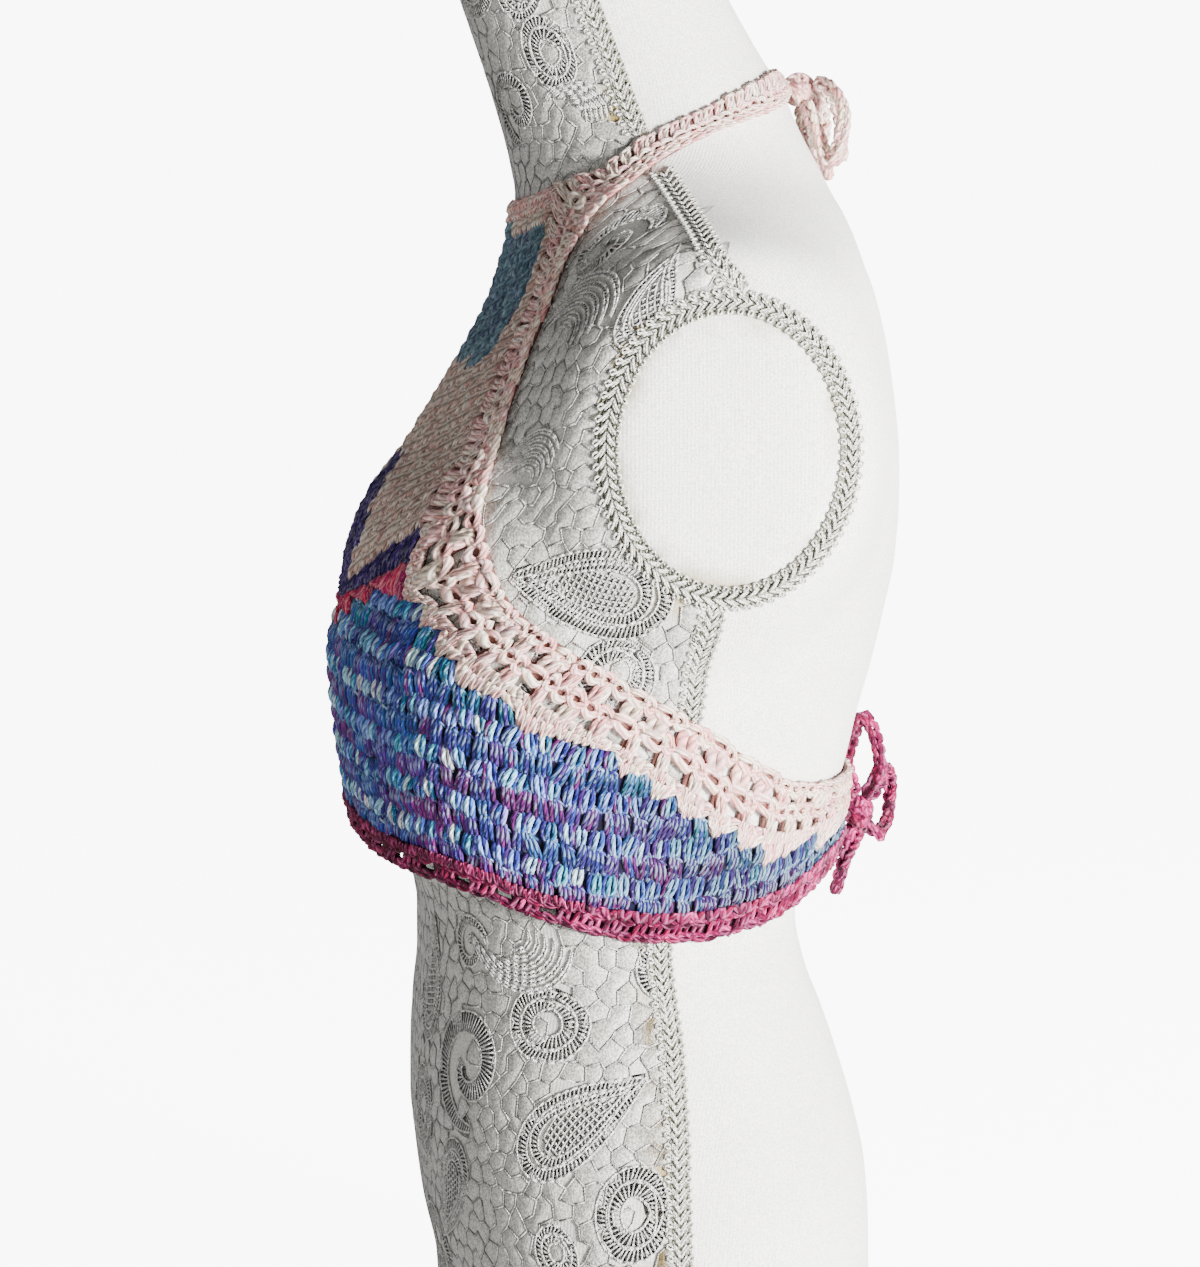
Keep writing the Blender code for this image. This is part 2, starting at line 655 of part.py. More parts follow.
def smooth_route(points, spacing):
    """Evenly spaced points on a smooth curve through the given ones."""
    ends = [2 * points[0] - points[1]] + points + [2 * points[-1] - points[-2]]
    dense = []
    for a, b, c, d in zip(ends, ends[1:], ends[2:], ends[3:]):
        for s in np.linspace(0, 1, ROUTE_SAMPLES, endpoint=False):
            dense.append(0.5 * (2 * b + (c - a) * s
                                + (2 * a - 5 * b + 4 * c - d) * s * s
                                + (3 * b - a - 3 * c + d) * s ** 3))
    dense.append(points[-1])
    steps = [(q - p).length for p, q in zip(dense, dense[1:])]
    run = np.concatenate([[0], np.cumsum(steps)])
    places = np.linspace(0, run[-1], max(3, round(run[-1] / spacing) + 1))
    rows = np.array([tuple(p) for p in dense])
    return [Vector([np.interp(at, run, rows[:, k]) for k in range(3)])
            for at in places]


def make_cord(name, points, finish):
    spacing = TIE_POINT_SPACING * TIE_DIAMETER
    route = smooth_route([Vector(p) for p in points], spacing)
    curve = bpy.data.curves.new(name, "CURVE")
    curve.dimensions = "3D"
    curve.bevel_depth = 0.5 * TIE_DIAMETER * MM
    curve.bevel_resolution = 2
    curve.use_fill_caps = True
    spline = curve.splines.new("POLY")
    spline.points.add(len(route) - 1)
    for node, place in zip(spline.points, route):
        node.co = (*(place * MM), 1)
    spline.use_smooth = True
    curve.materials.append(new_material(finish))
    item = bpy.data.objects.new(name, curve)
    bpy.context.collection.objects.link(item)


def make_bow(place, knot, finish, loops, tails):
    """A knot with two loops that come back to it and two loose tails."""
    make_knot(place + "_knot", knot, finish)
    for side, loop, tail in zip(("left", "right"), loops, tails):
        ends = off_knot(knot, loop[0]), off_knot(knot, loop[-1])
        make_cord(f"{place}_loop_{side}", [ends[0], *loop, ends[1]], finish)
        make_cord(f"{place}_tail_{side}", [off_knot(knot, tail[0]), *tail],
                  finish)


def make_back_tie(name, side):
    """The short cord from the band's end to the knot."""
    route = [Point(side * p.x, p.y, p.z) for p in BACK_TIE]
    make_cord(name, [*route, off_knot(BACK_KNOT, route[-1])], RASPBERRY)


def main():
    for item in list(bpy.data.objects):
        bpy.data.objects.remove(item, do_unlink=True)
    make_dress_form()
    make_body_band()
    make_stripes()
    make_bib()
    for suffix, side in (("left", 1), ("right", -1)):
        make_armhole_plate("armhole_plate_" + suffix, side)
        make_neck_strap("neck_strap_" + suffix, side)
        make_armhole_edging("armhole_edging_" + suffix, side)
        make_hem_edging("hem_edging_" + suffix, side)
        make_back_tie("back_tie_" + suffix, side)
    make_bow("back", BACK_KNOT, RASPBERRY, (BACK_LOOP_LEFT, BACK_LOOP_RIGHT),
             (BACK_TAIL_LEFT, BACK_TAIL_RIGHT))
    make_bow("nape", NAPE_KNOT, PINK, (NAPE_LOOP_LEFT, NAPE_LOOP_RIGHT),
             (NAPE_TAIL_LEFT, NAPE_TAIL_RIGHT))


main()
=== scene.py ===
"""Looks of a crochet halter top, worn by a limbless dress form.

The garment's front looks along -Y, the wearer's left side is +X and the form
stands on z = 0.  Tables are in millimetres and become metres as a mesh gets
its place.  A place on the cloth is (height, turn): the height above the floor,
and the share of the way round the body from centre front (0) to centre back
(1), positive on the wearer's left and negative on the right.
"""

import logging
import math
from dataclasses import dataclass, field
from enum import Enum
from typing import NamedTuple

import bmesh
import bpy
import numpy as np
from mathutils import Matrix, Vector


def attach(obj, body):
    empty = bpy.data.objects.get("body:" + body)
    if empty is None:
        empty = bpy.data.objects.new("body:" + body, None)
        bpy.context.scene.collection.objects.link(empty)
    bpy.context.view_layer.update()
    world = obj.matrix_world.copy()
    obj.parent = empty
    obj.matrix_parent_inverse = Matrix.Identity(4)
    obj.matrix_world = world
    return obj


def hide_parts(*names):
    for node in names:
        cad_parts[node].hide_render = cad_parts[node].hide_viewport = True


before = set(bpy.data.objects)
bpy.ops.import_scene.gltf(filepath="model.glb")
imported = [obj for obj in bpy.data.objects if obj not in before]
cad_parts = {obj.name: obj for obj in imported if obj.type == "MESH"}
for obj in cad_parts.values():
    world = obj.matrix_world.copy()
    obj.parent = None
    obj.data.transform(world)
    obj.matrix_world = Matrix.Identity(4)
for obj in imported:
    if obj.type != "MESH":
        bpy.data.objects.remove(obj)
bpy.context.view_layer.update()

LOG = logging.getLogger("halter_top")
MM = 0.001
SIDES = (("left", 1), ("right", -1))

# ------------------------------------------------ sizes shared with the solids
CLEARANCE = 0.8
SEAM_GAP = 0.3
SEAM_TURN = 0.0015
BAND_END = 0.96
CELL_TURN = 0.016
BAND_CELLS = 30
BIB_CELLS = 7
ROW_PITCH = 8.2
STEP_RAMP = 0.005
HEM_WIDTH = 8.5
HEM_ROWS = (0.0, 2.4, 6.0, 8.5)
HEM_HOLE_END = 28
HEM_HOLE_PERIOD = 3
LACE_ROOT = 6.5
LACE_ROWS = (0.0, 0.30, 0.52, 0.80, 1.0)
LACE_OPEN_ROWS = (3, 1)
HALF_GIRTH = 390.0
FORM_TOP = 631.0
PAD_REACH = 150.0
ARM_CENTRE_Y = 28.0
ARM_CENTRE_Z = 415.0
PAD_HALF_DEPTH = 49.0
PAD_HALF_HEIGHT = 58.0
PAD_EASE = 1.6
PLATE_HALF_DEPTH = 45.0
PLATE_HALF_HEIGHT = 54.0
PLATE_THICKNESS = 7.0
KNOT_GAP = 0.6
CLEAVAGE_HALF_WIDTH = 22.0
STRIPE_END = 0.2235
NECKLINE_ROW = 6
STRAP_FREE = 9


class Section(NamedTuple):
    """A level section of the torso, and how far worn cloth stands off it."""

    height: float
    front: float
    back: float
    half_width: float
    front_power: float
    back_power: float
    front_hang: float
    back_hang: float
    cleavage: float


SECTIONS = tuple(Section(*row) for row in (
    (0, 60, 105, 150, 2.3, 2.3, 0, 0, 0),
    (34, 69, 106, 156, 2.3, 2.3, 0, 0, 0),
    (65, 71, 107, 158, 2.3, 2.3, 0, 0, 0),
    (93, 77, 107, 155, 2.3, 2.3, 0, 0, 0),
    (115, 80, 106, 149, 2.3, 2.3, 0, 0, 0),
    (136, 82, 102, 142, 2.3, 2.3, 0, 0, 0),
    (157, 82, 96, 135, 2.3, 2.3, 0, 0, 0),
    (178, 81, 89, 129, 2.3, 2.3, 2, 1, 0),
    (199, 79, 81, 125, 2.3, 2.3, 10, 4, 0),
    (220, 79, 77, 124, 2.3, 2.3, 17, 9, 0),
    (237, 83, 80, 125, 2.3, 2.3, 18, 10, 0),
    (250, 90, 85, 128, 2.35, 2.3, 14, 8, 2),
    (263, 98, 91, 130, 2.4, 2.3, 8, 4, 4),
    (284, 107, 98, 134, 2.45, 2.3, 2.5, 0, 8),
    (305, 112, 103, 137, 2.5, 2.3, 0, 0, 12),
    (326, 113.5, 109, 139, 2.5, 2.3, 0, 0, 14),
    (347, 109, 114, 139, 2.5, 2.3, 0, 0, 14),
    (368, 105.5, 118, 139, 2.5, 2.35, 0, 0, 10),
    (389, 97.5, 119, 141, 2.5, 2.4, 0, 0, 6),
    (411, 81, 118, 143, 2.45, 2.45, 0, 0, 3),
    (432, 68, 115, 146, 2.4, 2.5, 0, 0, 0),
    (453, 55, 111, 149, 2.35, 2.5, 0, 0, 0),
    (474, 44.5, 106, 150, 2.2, 2.4, 0, 0, 0),
    (487, 40.5, 103, 143, 2.1, 2.2, 0, 0, 0),
    (497, 38, 102, 127, 2.0, 2.0, 0, 0, 0),
    (508, 37, 99, 106, 1.95, 1.9, 0, 0, 0),
    (518, 37, 94, 86, 1.9, 1.9, 0, 0, 0),
    (529, 39, 89, 71, 1.9, 1.9, 0, 0, 0),
    (542, 42, 82, 62, 1.95, 1.95, 0, 0, 0),
    (559, 47, 74, 58, 2, 2, 0, 0, 0),
    (580, 54, 61, 56, 2, 2, 0, 0, 0),
    (601, 61, 49, 56, 2, 2, 0, 0, 0),
    (631, 70, 33, 55, 2, 2, 0, 0, 0),
))


class SmoothTable:
    """A monotone cubic through a short table of places and values."""

    def __init__(self, rows: tuple[tuple[float, float], ...]) -> None:
        """Fits the cubic's slopes to rows of (place, value)."""
        self.places, self.values = np.array(rows, dtype=float).T
        widths = np.diff(self.places)
        rises = np.diff(self.values) / widths
        slopes = np.empty_like(self.values)
        slopes[0], slopes[-1] = rises[0], rises[-1]
        for i in range(1, len(slopes) - 1):
            before, after = rises[i - 1], rises[i]
            near = 2 * widths[i] + widths[i - 1]
            far = widths[i] + 2 * widths[i - 1]
            slopes[i] = (0.0 if before * after <= 0 else
                         (near + far) / (near / before + far / after))
        self.slopes = slopes

    def __call__(self, place: np.ndarray | float) -> np.ndarray | float:
        """Returns the value at one place or at an array of them."""
        last = len(self.places) - 2
        i = np.clip(np.searchsorted(self.places, place) - 1, 0, last)
        width = self.places[i + 1] - self.places[i]
        s = np.clip((place - self.places[i]) / width, 0, 1)
        return ((1 + 2 * s) * (1 - s) ** 2 * self.values[i]
                + s * (1 - s) ** 2 * width * self.slopes[i]
                + s * s * (3 - 2 * s) * self.values[i + 1]
                - s * s * (1 - s) * width * self.slopes[i + 1])


# Lines across the garment, as (turn, height).
hem_height = SmoothTable((
    (0, 255), (0.076, 254), (0.225, 248), (0.29, 245.2), (0.338, 241),
    (0.402, 233.2), (0.511, 224.3), (0.565, 223.6), (0.617, 226), (0.69, 231),
    (0.757, 238.8), (0.818, 243), (0.96, 246)))
band_line = SmoothTable((
    (0, 338), (0.224, 355), (0.334, 328), (0.425, 306), (0.512, 288),
    (0.611, 263), (0.688, 256), (0.763, 258), (0.96, 260)))
coral_height = SmoothTable(((0, 349), (0.12, 357), (0.226, 370)))
violet_height = SmoothTable(((0, 353), (0.12, 364), (0.226, 383.6)))
neck_low_height = SmoothTable(((0, 505), (0.11, 505.8), (0.2035, 508.5)))
neck_top_height = SmoothTable(((0, 513), (0.11, 514), (0.214, 517)))
armhole_height = SmoothTable((
    (0.288, 390.6), (0.304, 380), (0.347, 357), (0.416, 340), (0.495, 324),
    (0.559, 310), (0.626, 294), (0.686, 284), (0.774, 281), (0.96, 281)))
lace_lean = SmoothTable((
    (0.224, 0.088), (0.30, 0.060), (0.40, 0.035), (0.50, 0.020),
    (0.60, 0.010), (0.75, 0.0), (0.96, 0.0)))

# The border of the bib and the neck strap: outer height and turn, then inner.
STRAP = (
    (391, 0.288, 384, 0.2255), (402, 0.273, 397, 0.2215),
    (425, 0.257, 421, 0.214), (453, 0.249, 450, 0.206),
    (476, 0.251, 474, 0.204), (489, 0.259, 492, 0.203),
    (498, 0.274, 508.5, 0.2045), (505, 0.299, 517, 0.215),
    (511, 0.328, 519.5, 0.262), (516, 0.365, 522, 0.318),
    (526, 0.434, 535, 0.424), (540, 0.589, 548, 0.583),
    (551, 0.784, 561.5, 0.781), (561.5, 0.982, 568, 0.982),
)
strap_lines = [SmoothTable(tuple(enumerate(column))) for column in zip(*STRAP)]

# First columns of the armhole edging: height, turn, turn at the armhole.
LACE_START = ((383.6, 0.2255, 0.288), (374, 0.2255, 0.296),
              (364.5, 0.2255, 0.304))

# Seams of the form's cover, as (height, turn).
NECK_SEAM = ((474, 0.505), (488, 0.475), (502, 0.458), (517, 0.442),
             (529, 0.425), (544, 0.415), (557, 0.415), (569, 0.42),
             (591, 0.427), (631, 0.43))
SIDE_SEAM = ((0, 0.478), (60, 0.485), (103, 0.49), (126, 0.497), (144, 0.505),
             (162, 0.512), (190, 0.52), (220, 0.521), (240, 0.53),
             (270, 0.545), (300, 0.553), (320, 0.554), (339, 0.547),
             (361, 0.533))
SEAM_HIDDEN = ((226, 309), (523, 537))   # heights where cloth covers a seam
LACE_EDGE = SmoothTable(SIDE_SEAM[:-1] + (
    (358, 0.512), (376, 0.46), (395, 0.42), (416, 0.398), (438, 0.393),
    (457, 0.408), (468, 0.443)) + NECK_SEAM)


class Knot(NamedTuple):
    """A knot's centre and its radii."""

    centre: tuple[float, float, float]
    radii: tuple[float, float, float]


BACK_KNOT = Knot((0, 109, 255), (8, 7, 7.5))
NAPE_KNOT = Knot((0, 81.6, 561), (8, 7, 7))

Route = tuple[tuple[float, float, float], ...]
BACK_TIE: Route = ((13.6, 96, 254.5), (11, 96.9, 254.6), (9, 100, 254.8))
BACK_LOOPS: dict[str, Route] = {
    "left": (
        (6, 105, 268), (9, 102.5, 276), (12, 102.8, 285), (15, 104.2, 293),
        (17, 107, 298), (18, 111, 293), (17, 114, 284), (13, 116, 275),
        (7, 115.5, 267)),
    "right": (
        (-9, 117, 266), (-18, 122, 271), (-27, 127, 270), (-33, 130.5, 263),
        (-32, 130, 254), (-26, 127, 246.5), (-17, 122.5, 243),
        (-8, 118, 245.5)),
}
BACK_TAILS: dict[str, Route] = {
    "left": ((8, 106.5, 246), (12.5, 103, 240.5), (16.5, 100, 235),
             (19.5, 97.5, 229.5), (21.5, 95, 223)),
    "right": ((-9, 106, 245), (-14.5, 102.5, 240), (-19, 100, 234.5),
              (-22, 98.5, 228.5), (-23.5, 97, 222.5)),
}
NAPE_LOOPS: dict[str, Route] = {
    "left": (
        (9, 91, 563), (14, 95, 559), (18, 97.5, 551), (20, 97, 542),
        (19, 94.5, 534), (16.5, 91.8, 530), (13, 89.5, 535),
        (11, 87.3, 543), (9, 85, 552)),
    "right": (
        (-9, 90, 561.5), (-16, 94, 556), (-20, 96, 547), (-22, 95.5, 537),
        (-21, 94, 529), (-18, 93, 525.5), (-14, 91, 532), (-12, 88.3, 542),
        (-9.5, 85, 552.5)),
}
NAPE_TAILS: dict[str, Route] = {
    "left": ((0.3, 93, 561.5), (0.8, 97.5, 557), (1.5, 99.8, 549),
             (2, 100, 540), (2.5, 99.5, 531)),
    "right": ((0, 87.5, 548.5), (-3, 90.2, 540), (-6, 94.5, 530),
              (-7, 97, 524.5)),
}


def linear(*colours: tuple[float, float, float]) -> np.ndarray:
    """Returns display colours as rows of linear ones."""
    shown = np.array(colours, dtype=float)
    return np.where(shown <= 0.04045, shown / 12.92,
                    ((shown + 0.055) / 1.055) ** 2.4)


# ------------------------------------------------------------ the body's shape
class BodySurface:
    """The torso's skin, or the surface that worn cloth follows over it."""

    LEVEL_STEP = 1.0
    TURN_STEP = 0.0025
    TURN_REACH = 1.1

    def __init__(self, worn: bool) -> None:
        """Samples the whole surface once, with its normals.

        Args:
            worn: Whether the surface is the cloth's and not the skin's.
        """
        self.worn = worn
        columns = zip(*SECTIONS)
        heights = next(columns)
        self.tables = {
            name: SmoothTable(tuple(zip(heights, values)))
            for name, values in zip(Section._fields[1:], columns)}
        self.levels = np.arange(0, FORM_TOP + self.LEVEL_STEP, self.LEVEL_STEP)
        shares = np.arange(0, 1 + 0.5 * self.TURN_STEP, self.TURN_STEP)
        half = np.stack([self._half_section(min(level, FORM_TOP), shares)
                         for level in self.levels])
        count = round(2 * self.TURN_REACH / self.TURN_STEP) + 1
        turns = np.linspace(-self.TURN_REACH, self.TURN_REACH, count)
        wrapped = (turns + 1) % 2 - 1
        place = np.rint(np.abs(wrapped) / self.TURN_STEP).astype(int)
        points = np.empty((len(self.levels), count, 3))
        points[..., 0] = np.sign(wrapped) * half[:, place, 0]
        points[..., 1] = half[:, place, 1]
        points[..., 2] = self.levels[:, None]
        self.points = points
        along = np.gradient(points, axis=1)
        upward = np.gradient(points, axis=0)
        normals = np.cross(along, upward)
        self.normals = normals / np.linalg.norm(normals, axis=2, keepdims=True)
        self.half_girths = np.linalg.norm(
            np.diff(half, axis=1), axis=2).sum(axis=1)

    def _half_section(self, height: float, shares: np.ndarray) -> np.ndarray:
        """Returns x and y at shares of the half turn, at one height."""
        at = {name: float(table(height)) for name, table in self.tables.items()}
        angle = np.linspace(0, math.pi, 241)
        sine, cosine = np.abs(np.sin(angle)), np.cos(angle)
        is_front = cosine > 0
        power = np.where(is_front, at["front_power"], at["back_power"])
        x = at["half_width"] * sine ** (2 / power)
        middle = 0.5 * (at["back"] - at["front"])
        hang = np.where(is_front, at["front_hang"], at["back_hang"])
        reach = 0.5 * (at["back"] + at["front"]) + (hang if self.worn else 0)
        y = middle - np.sign(cosine) * reach * np.abs(cosine) ** (2 / power)
        if not self.worn:
            dip = at["cleavage"] * np.exp(-(x / CLEAVAGE_HALF_WIDTH) ** 2)
            y = y + np.where(is_front, dip, 0.0)
        radius = np.hypot((y - ARM_CENTRE_Y) / PAD_HALF_DEPTH,
                          (height - ARM_CENTRE_Z) / PAD_HALF_HEIGHT)
        ease = np.clip((radius - 1) / (PAD_EASE - 1), 0, 1)
        blend = 1 - ease * ease * (3 - 2 * ease)
        x = x + blend * np.clip(PAD_REACH - x, 0, None)
        run = np.concatenate([[0], np.cumsum(np.hypot(np.diff(x), np.diff(y)))])
        run /= run[-1]
        return np.stack([np.interp(shares, run, x),
                         np.interp(shares, run, y)], axis=1)

    def _sample(self, grid: np.ndarray, height: np.ndarray,
                turn: np.ndarray) -> np.ndarray:
        """Returns a grid's values between its points."""
        level = np.clip(height / self.LEVEL_STEP, 0, len(self.levels) - 1.001)
        column = (turn + self.TURN_REACH) / self.TURN_STEP
        column = np.clip(column, 0, grid.shape[1] - 1.001)
        i, j = level.astype(int), column.astype(int)
        s, t = (level - i)[..., None], (column - j)[..., None]
        return ((1 - s) * ((1 - t) * grid[i, j] + t * grid[i, j + 1])
                + s * ((1 - t) * grid[i + 1, j] + t * grid[i + 1, j + 1]))

    def carry(self, height: np.ndarray, turn: np.ndarray,
              lift: np.ndarray | float) -> np.ndarray:
        """Places points on or over the surface.

        Args:
            height: Heights above the floor.
            turn: Turns, of the same shape.
            lift: Distances off the surface.

        Returns:
            The points, with x, y and z on the last axis.
        """
        height, turn = np.broadcast_arrays(
            np.asarray(height, float), np.asarray(turn, float))
        normal = self._sample(self.normals, height, turn)
        lift = np.broadcast_to(np.asarray(lift, float), height.shape)
        return self._sample(self.points, height, turn) + lift[..., None] * normal

    def half_girth(self, height: np.ndarray) -> np.ndarray:
        """Returns the length of the half turn at each height."""
        return np.interp(height, self.levels, self.half_girths)

    def turn_at(self, y: float, height: float) -> float:
        """Returns the turn at which the left side has this y."""
        level = int(round(height / self.LEVEL_STEP))
        start = round(self.TURN_REACH / self.TURN_STEP)
        half = self.points[level, start:start + round(1 / self.TURN_STEP) + 1]
        low = len(half) // 8
        return float(np.interp(y, half[low:, 1],
                               np.linspace(0, 1, len(half))[low:]))


SKIN = BodySurface(worn=False)
WORN = BodySurface(worn=True)


@dataclass
class Patch:
    """Cloth over the body, from columns of (height, turn) places.

    Its own coordinates count columns across and rows up.
    """

    columns: np.ndarray
    side: int = 1
    surface: BodySurface = field(default_factory=lambda: WORN)

    def place(self, across: np.ndarray, up: np.ndarray) -> np.ndarray:
        """Returns (height, turn) at these column and row coordinates."""
        table = self.columns
        i = np.clip(np.floor(across).astype(int), 0, table.shape[0] - 2)
        j = np.clip(np.floor(up).astype(int), 0, table.shape[1] - 2)
        s, t = (across - i)[..., None], (up - j)[..., None]
        return ((1 - s) * ((1 - t) * table[i, j] + t * table[i, j + 1])
                + s * ((1 - t) * table[i + 1, j] + t * table[i + 1, j + 1]))

    def carry(self, across: np.ndarray, up: np.ndarray,
              lift: np.ndarray | float) -> np.ndarray:
        """Returns the points at these coordinates, raised by lift."""
        across, up = np.broadcast_arrays(
            np.asarray(across, float), np.asarray(up, float))
        spot = self.place(across, up)
        return self.surface.carry(spot[..., 0], self.side * spot[..., 1], lift)

    def split(self, row: float, pitch: float) -> np.ndarray:
        """Divides a row into stitches of even width.

        Args:
            row: The row coordinate.
            pitch: The wanted width of a stitch.

        Returns:
            The column coordinates of the stitches' sides.
        """
        across = np.linspace(0, len(self.columns) - 1, 400)
        line = self.carry(across, np.full_like(across, row), 2.0)
        run = np.concatenate(
            [[0], np.cumsum(np.linalg.norm(np.diff(line, axis=0), axis=1))])
        count = max(2, round(run[-1] / pitch))
        return np.interp(np.linspace(0, run[-1], count + 1), run, across)


@dataclass
class Trail:
    """A line in space with a frame that goes along it."""

    points: np.ndarray
    normals: np.ndarray

    def __post_init__(self) -> None:
        """Measures the line and squares its frames."""
        steps = np.linalg.norm(np.diff(self.points, axis=0), axis=1)
        self.run = np.concatenate([[0], np.cumsum(steps)])
        tangents = np.gradient(self.points, self.run, axis=0)
        self.tangents = tangents / np.linalg.norm(tangents, axis=1,
                                                  keepdims=True)
        inward = (self.normals * self.tangents).sum(axis=1, keepdims=True)
        normals = self.normals - inward * self.tangents
        self.normals = normals / np.linalg.norm(normals, axis=1, keepdims=True)
        self.across = np.cross(self.normals, self.tangents)

    @classmethod
    def turning_least(cls, points: np.ndarray, first: Route) -> "Trail":
        """Makes a trail whose frame twists as little as it can.

        Args:
            points: The line's points.
            first: One vector, which the first normal is nearest to.

        Returns:
            The trail.
        """
        steps = np.diff(points, axis=0)
        normal = np.array(first[0], dtype=float)
        normals = []
        for i in range(len(points)):
            way = steps[min(i, len(steps) - 1)]
            way = way / np.linalg.norm(way)
            normal = normal - (normal @ way) * way
            normal /= np.linalg.norm(normal)
            normals.append(normal)
        return cls(points, np.array(normals))

    def carry(self, along: np.ndarray, side: np.ndarray,
              lift: np.ndarray) -> np.ndarray:
        """Returns points at distances along, beside and off the line."""
        def at(rows: np.ndarray) -> np.ndarray:
            return np.stack([np.interp(along, self.run, rows[:, k])
                             for k in range(3)], axis=-1)
        return (at(self.points) + side[..., None] * at(self.across)
                + lift[..., None] * at(self.normals))


def smooth_route(points: list[np.ndarray], spacing: float) -> np.ndarray:
    """Runs an even, smooth line through the given points.

    Args:
        points: Points of the route.
        spacing: About how far apart the line's own points are.

    Returns:
        The line's points, one a row.
    """
    ends = [2 * points[0] - points[1], *points, 2 * points[-1] - points[-2]]
    dense = []
    for a, b, c, d in zip(ends, ends[1:], ends[2:], ends[3:]):
        for s in np.linspace(0, 1, 24, endpoint=False):
            dense.append(0.5 * (2 * b + (c - a) * s
                                + (2 * a - 5 * b + 4 * c - d) * s * s
                                + (3 * b - a - 3 * c + d) * s ** 3))
    rows = np.array([*dense, points[-1]])
    steps = np.linalg.norm(np.diff(rows, axis=0), axis=1)
    run = np.concatenate([[0], np.cumsum(steps)])
    count = max(3, round(run[-1] / spacing) + 1)
    return np.stack([np.interp(np.linspace(0, run[-1], count), run, rows[:, k])
                     for k in range(3)], axis=1)


# ------------------------------------------------------------- yarn and stitches
@dataclass(frozen=True)
class Strand:
    """A length of yarn in a stitch, along x, y and lift in millimetres."""

    route: Route
    radius: float
    tone: int = 0


def sweep(shape: bmesh.types.BMesh, strand: Strand, sides: int) -> None:
    """Adds a strand's closed tube to a stitch.

    Args:
        shape: The stitch so far.
        strand: The strand.
        sides: Faces round the tube.
    """
    ply = shape.verts.layers.float_vector["ply"]
    tone = shape.verts.layers.float["tone"]
    route = np.array(strand.route, dtype=float)
    ways = np.gradient(route, axis=0)
    run = np.concatenate(
        [[0], np.cumsum(np.linalg.norm(np.diff(route, axis=0), axis=1))])
    ring = bmesh.ops.create_circle(shape, cap_ends=True, segments=sides,
                                   radius=1)["verts"]
    cap = ring[0].link_faces[0]
    ring = list(cap.verts)
    for step, (centre, way) in enumerate(zip(route, ways)):
        if step:
            grown = bmesh.ops.extrude_face_region(
                shape, geom=[cap], use_keep_orig=step == 1)["geom"]
            order = {tuple(v.co): i for i, v in enumerate(ring)}
            ring = sorted((e for e in grown
                           if isinstance(e, bmesh.types.BMVert)),
                          key=lambda v: order[tuple(v.co)])
            cap = next(e for e in grown if isinstance(e, bmesh.types.BMFace))
        way = Vector(way).normalized()
        beside = way.cross(Vector((0, 0, 1)))
        if beside.length < 0.2:
            beside = way.cross(Vector((0, 1, 0)))
        beside.normalize()
        over = beside.cross(way)
        for i, vertex in enumerate(ring):
            angle = 2 * math.pi * i / sides
            cosine, sine = math.cos(angle), math.sin(angle)
            vertex.co = Vector(centre) + strand.radius * (
                cosine * beside + sine * over)
            vertex[ply] = Vector((cosine, sine, run[step]))
            vertex[tone] = strand.tone


def stitch(name: str, strands: tuple[Strand, ...],
           sides: int = 5) -> bpy.types.Mesh:
    """Makes the mesh of one stitch from its strands."""
    shape = bmesh.new()
    shape.verts.layers.float_vector.new("ply")
    shape.verts.layers.float.new("tone")
    for strand in strands:
        sweep(shape, strand, sides)
    bmesh.ops.recalc_face_normals(shape, faces=shape.faces)
    mesh = bpy.data.meshes.new(name)
    shape.to_mesh(mesh)
    shape.free()
    return mesh


def coordinates(mesh: bpy.types.Mesh) -> np.ndarray:
    """Returns a mesh's vertices, one a row."""
    flat = np.empty(3 * len(mesh.vertices), dtype=np.float32)
    mesh.vertices.foreach_get("co", flat)
    return flat.reshape(-1, 3).astype(float)


def paint(mesh: bpy.types.Mesh, colours: np.ndarray) -> None:
    """Stores a linear colour for each vertex in the tint attribute."""
    tint = mesh.attributes.new("tint", "FLOAT_COLOR", "POINT")
    rows = np.ones((len(mesh.vertices), 4), dtype=np.float32)
    rows[:, :3] = colours
    tint.data.foreach_set("color", rows.ravel())


def new_piece(name: str, mesh: bpy.types.Mesh, points: np.ndarray,
              material: bpy.types.Material, flip: bool = False
              ) -> bpy.types.Object:
    """Gives a mesh its place, in metres, and makes it a piece.

    Args:
        name: The piece's name.
        mesh: The mesh.
        points: Its vertices' places in millimetres.
        material: Its material.
        flip: Whether the placing mirrors it.

    Returns:
        The piece.
    """
    mesh.vertices.foreach_set("co", (points * MM).astype(np.float32).ravel())
    if flip:
        mesh.flip_normals()
    mesh.shade_smooth()
    mesh.materials.clear()
    mesh.materials.append(material)
    mesh.update()
    mesh.name = name
    item = bpy.data.objects.new(name, mesh)
    bpy.context.collection.objects.link(item)
    return item


def repeated(template: bpy.types.Mesh, count: int) -> bpy.types.Mesh:
    """Returns a mesh with count copies of the template, made by an array."""
    item = bpy.data.objects.new(template.name, template)
    bpy.context.collection.objects.link(item)
    array = item.modifiers.new("array", "ARRAY")
    array.count = count
    array.use_relative_offset = False
    array.use_constant_offset = True
    array.constant_offset_displace = (0, 0, 0)
    graph = bpy.context.evaluated_depsgraph_get()
    made = bpy.data.meshes.new_from_object(item.evaluated_get(graph))
    bpy.data.objects.remove(item)
    return made


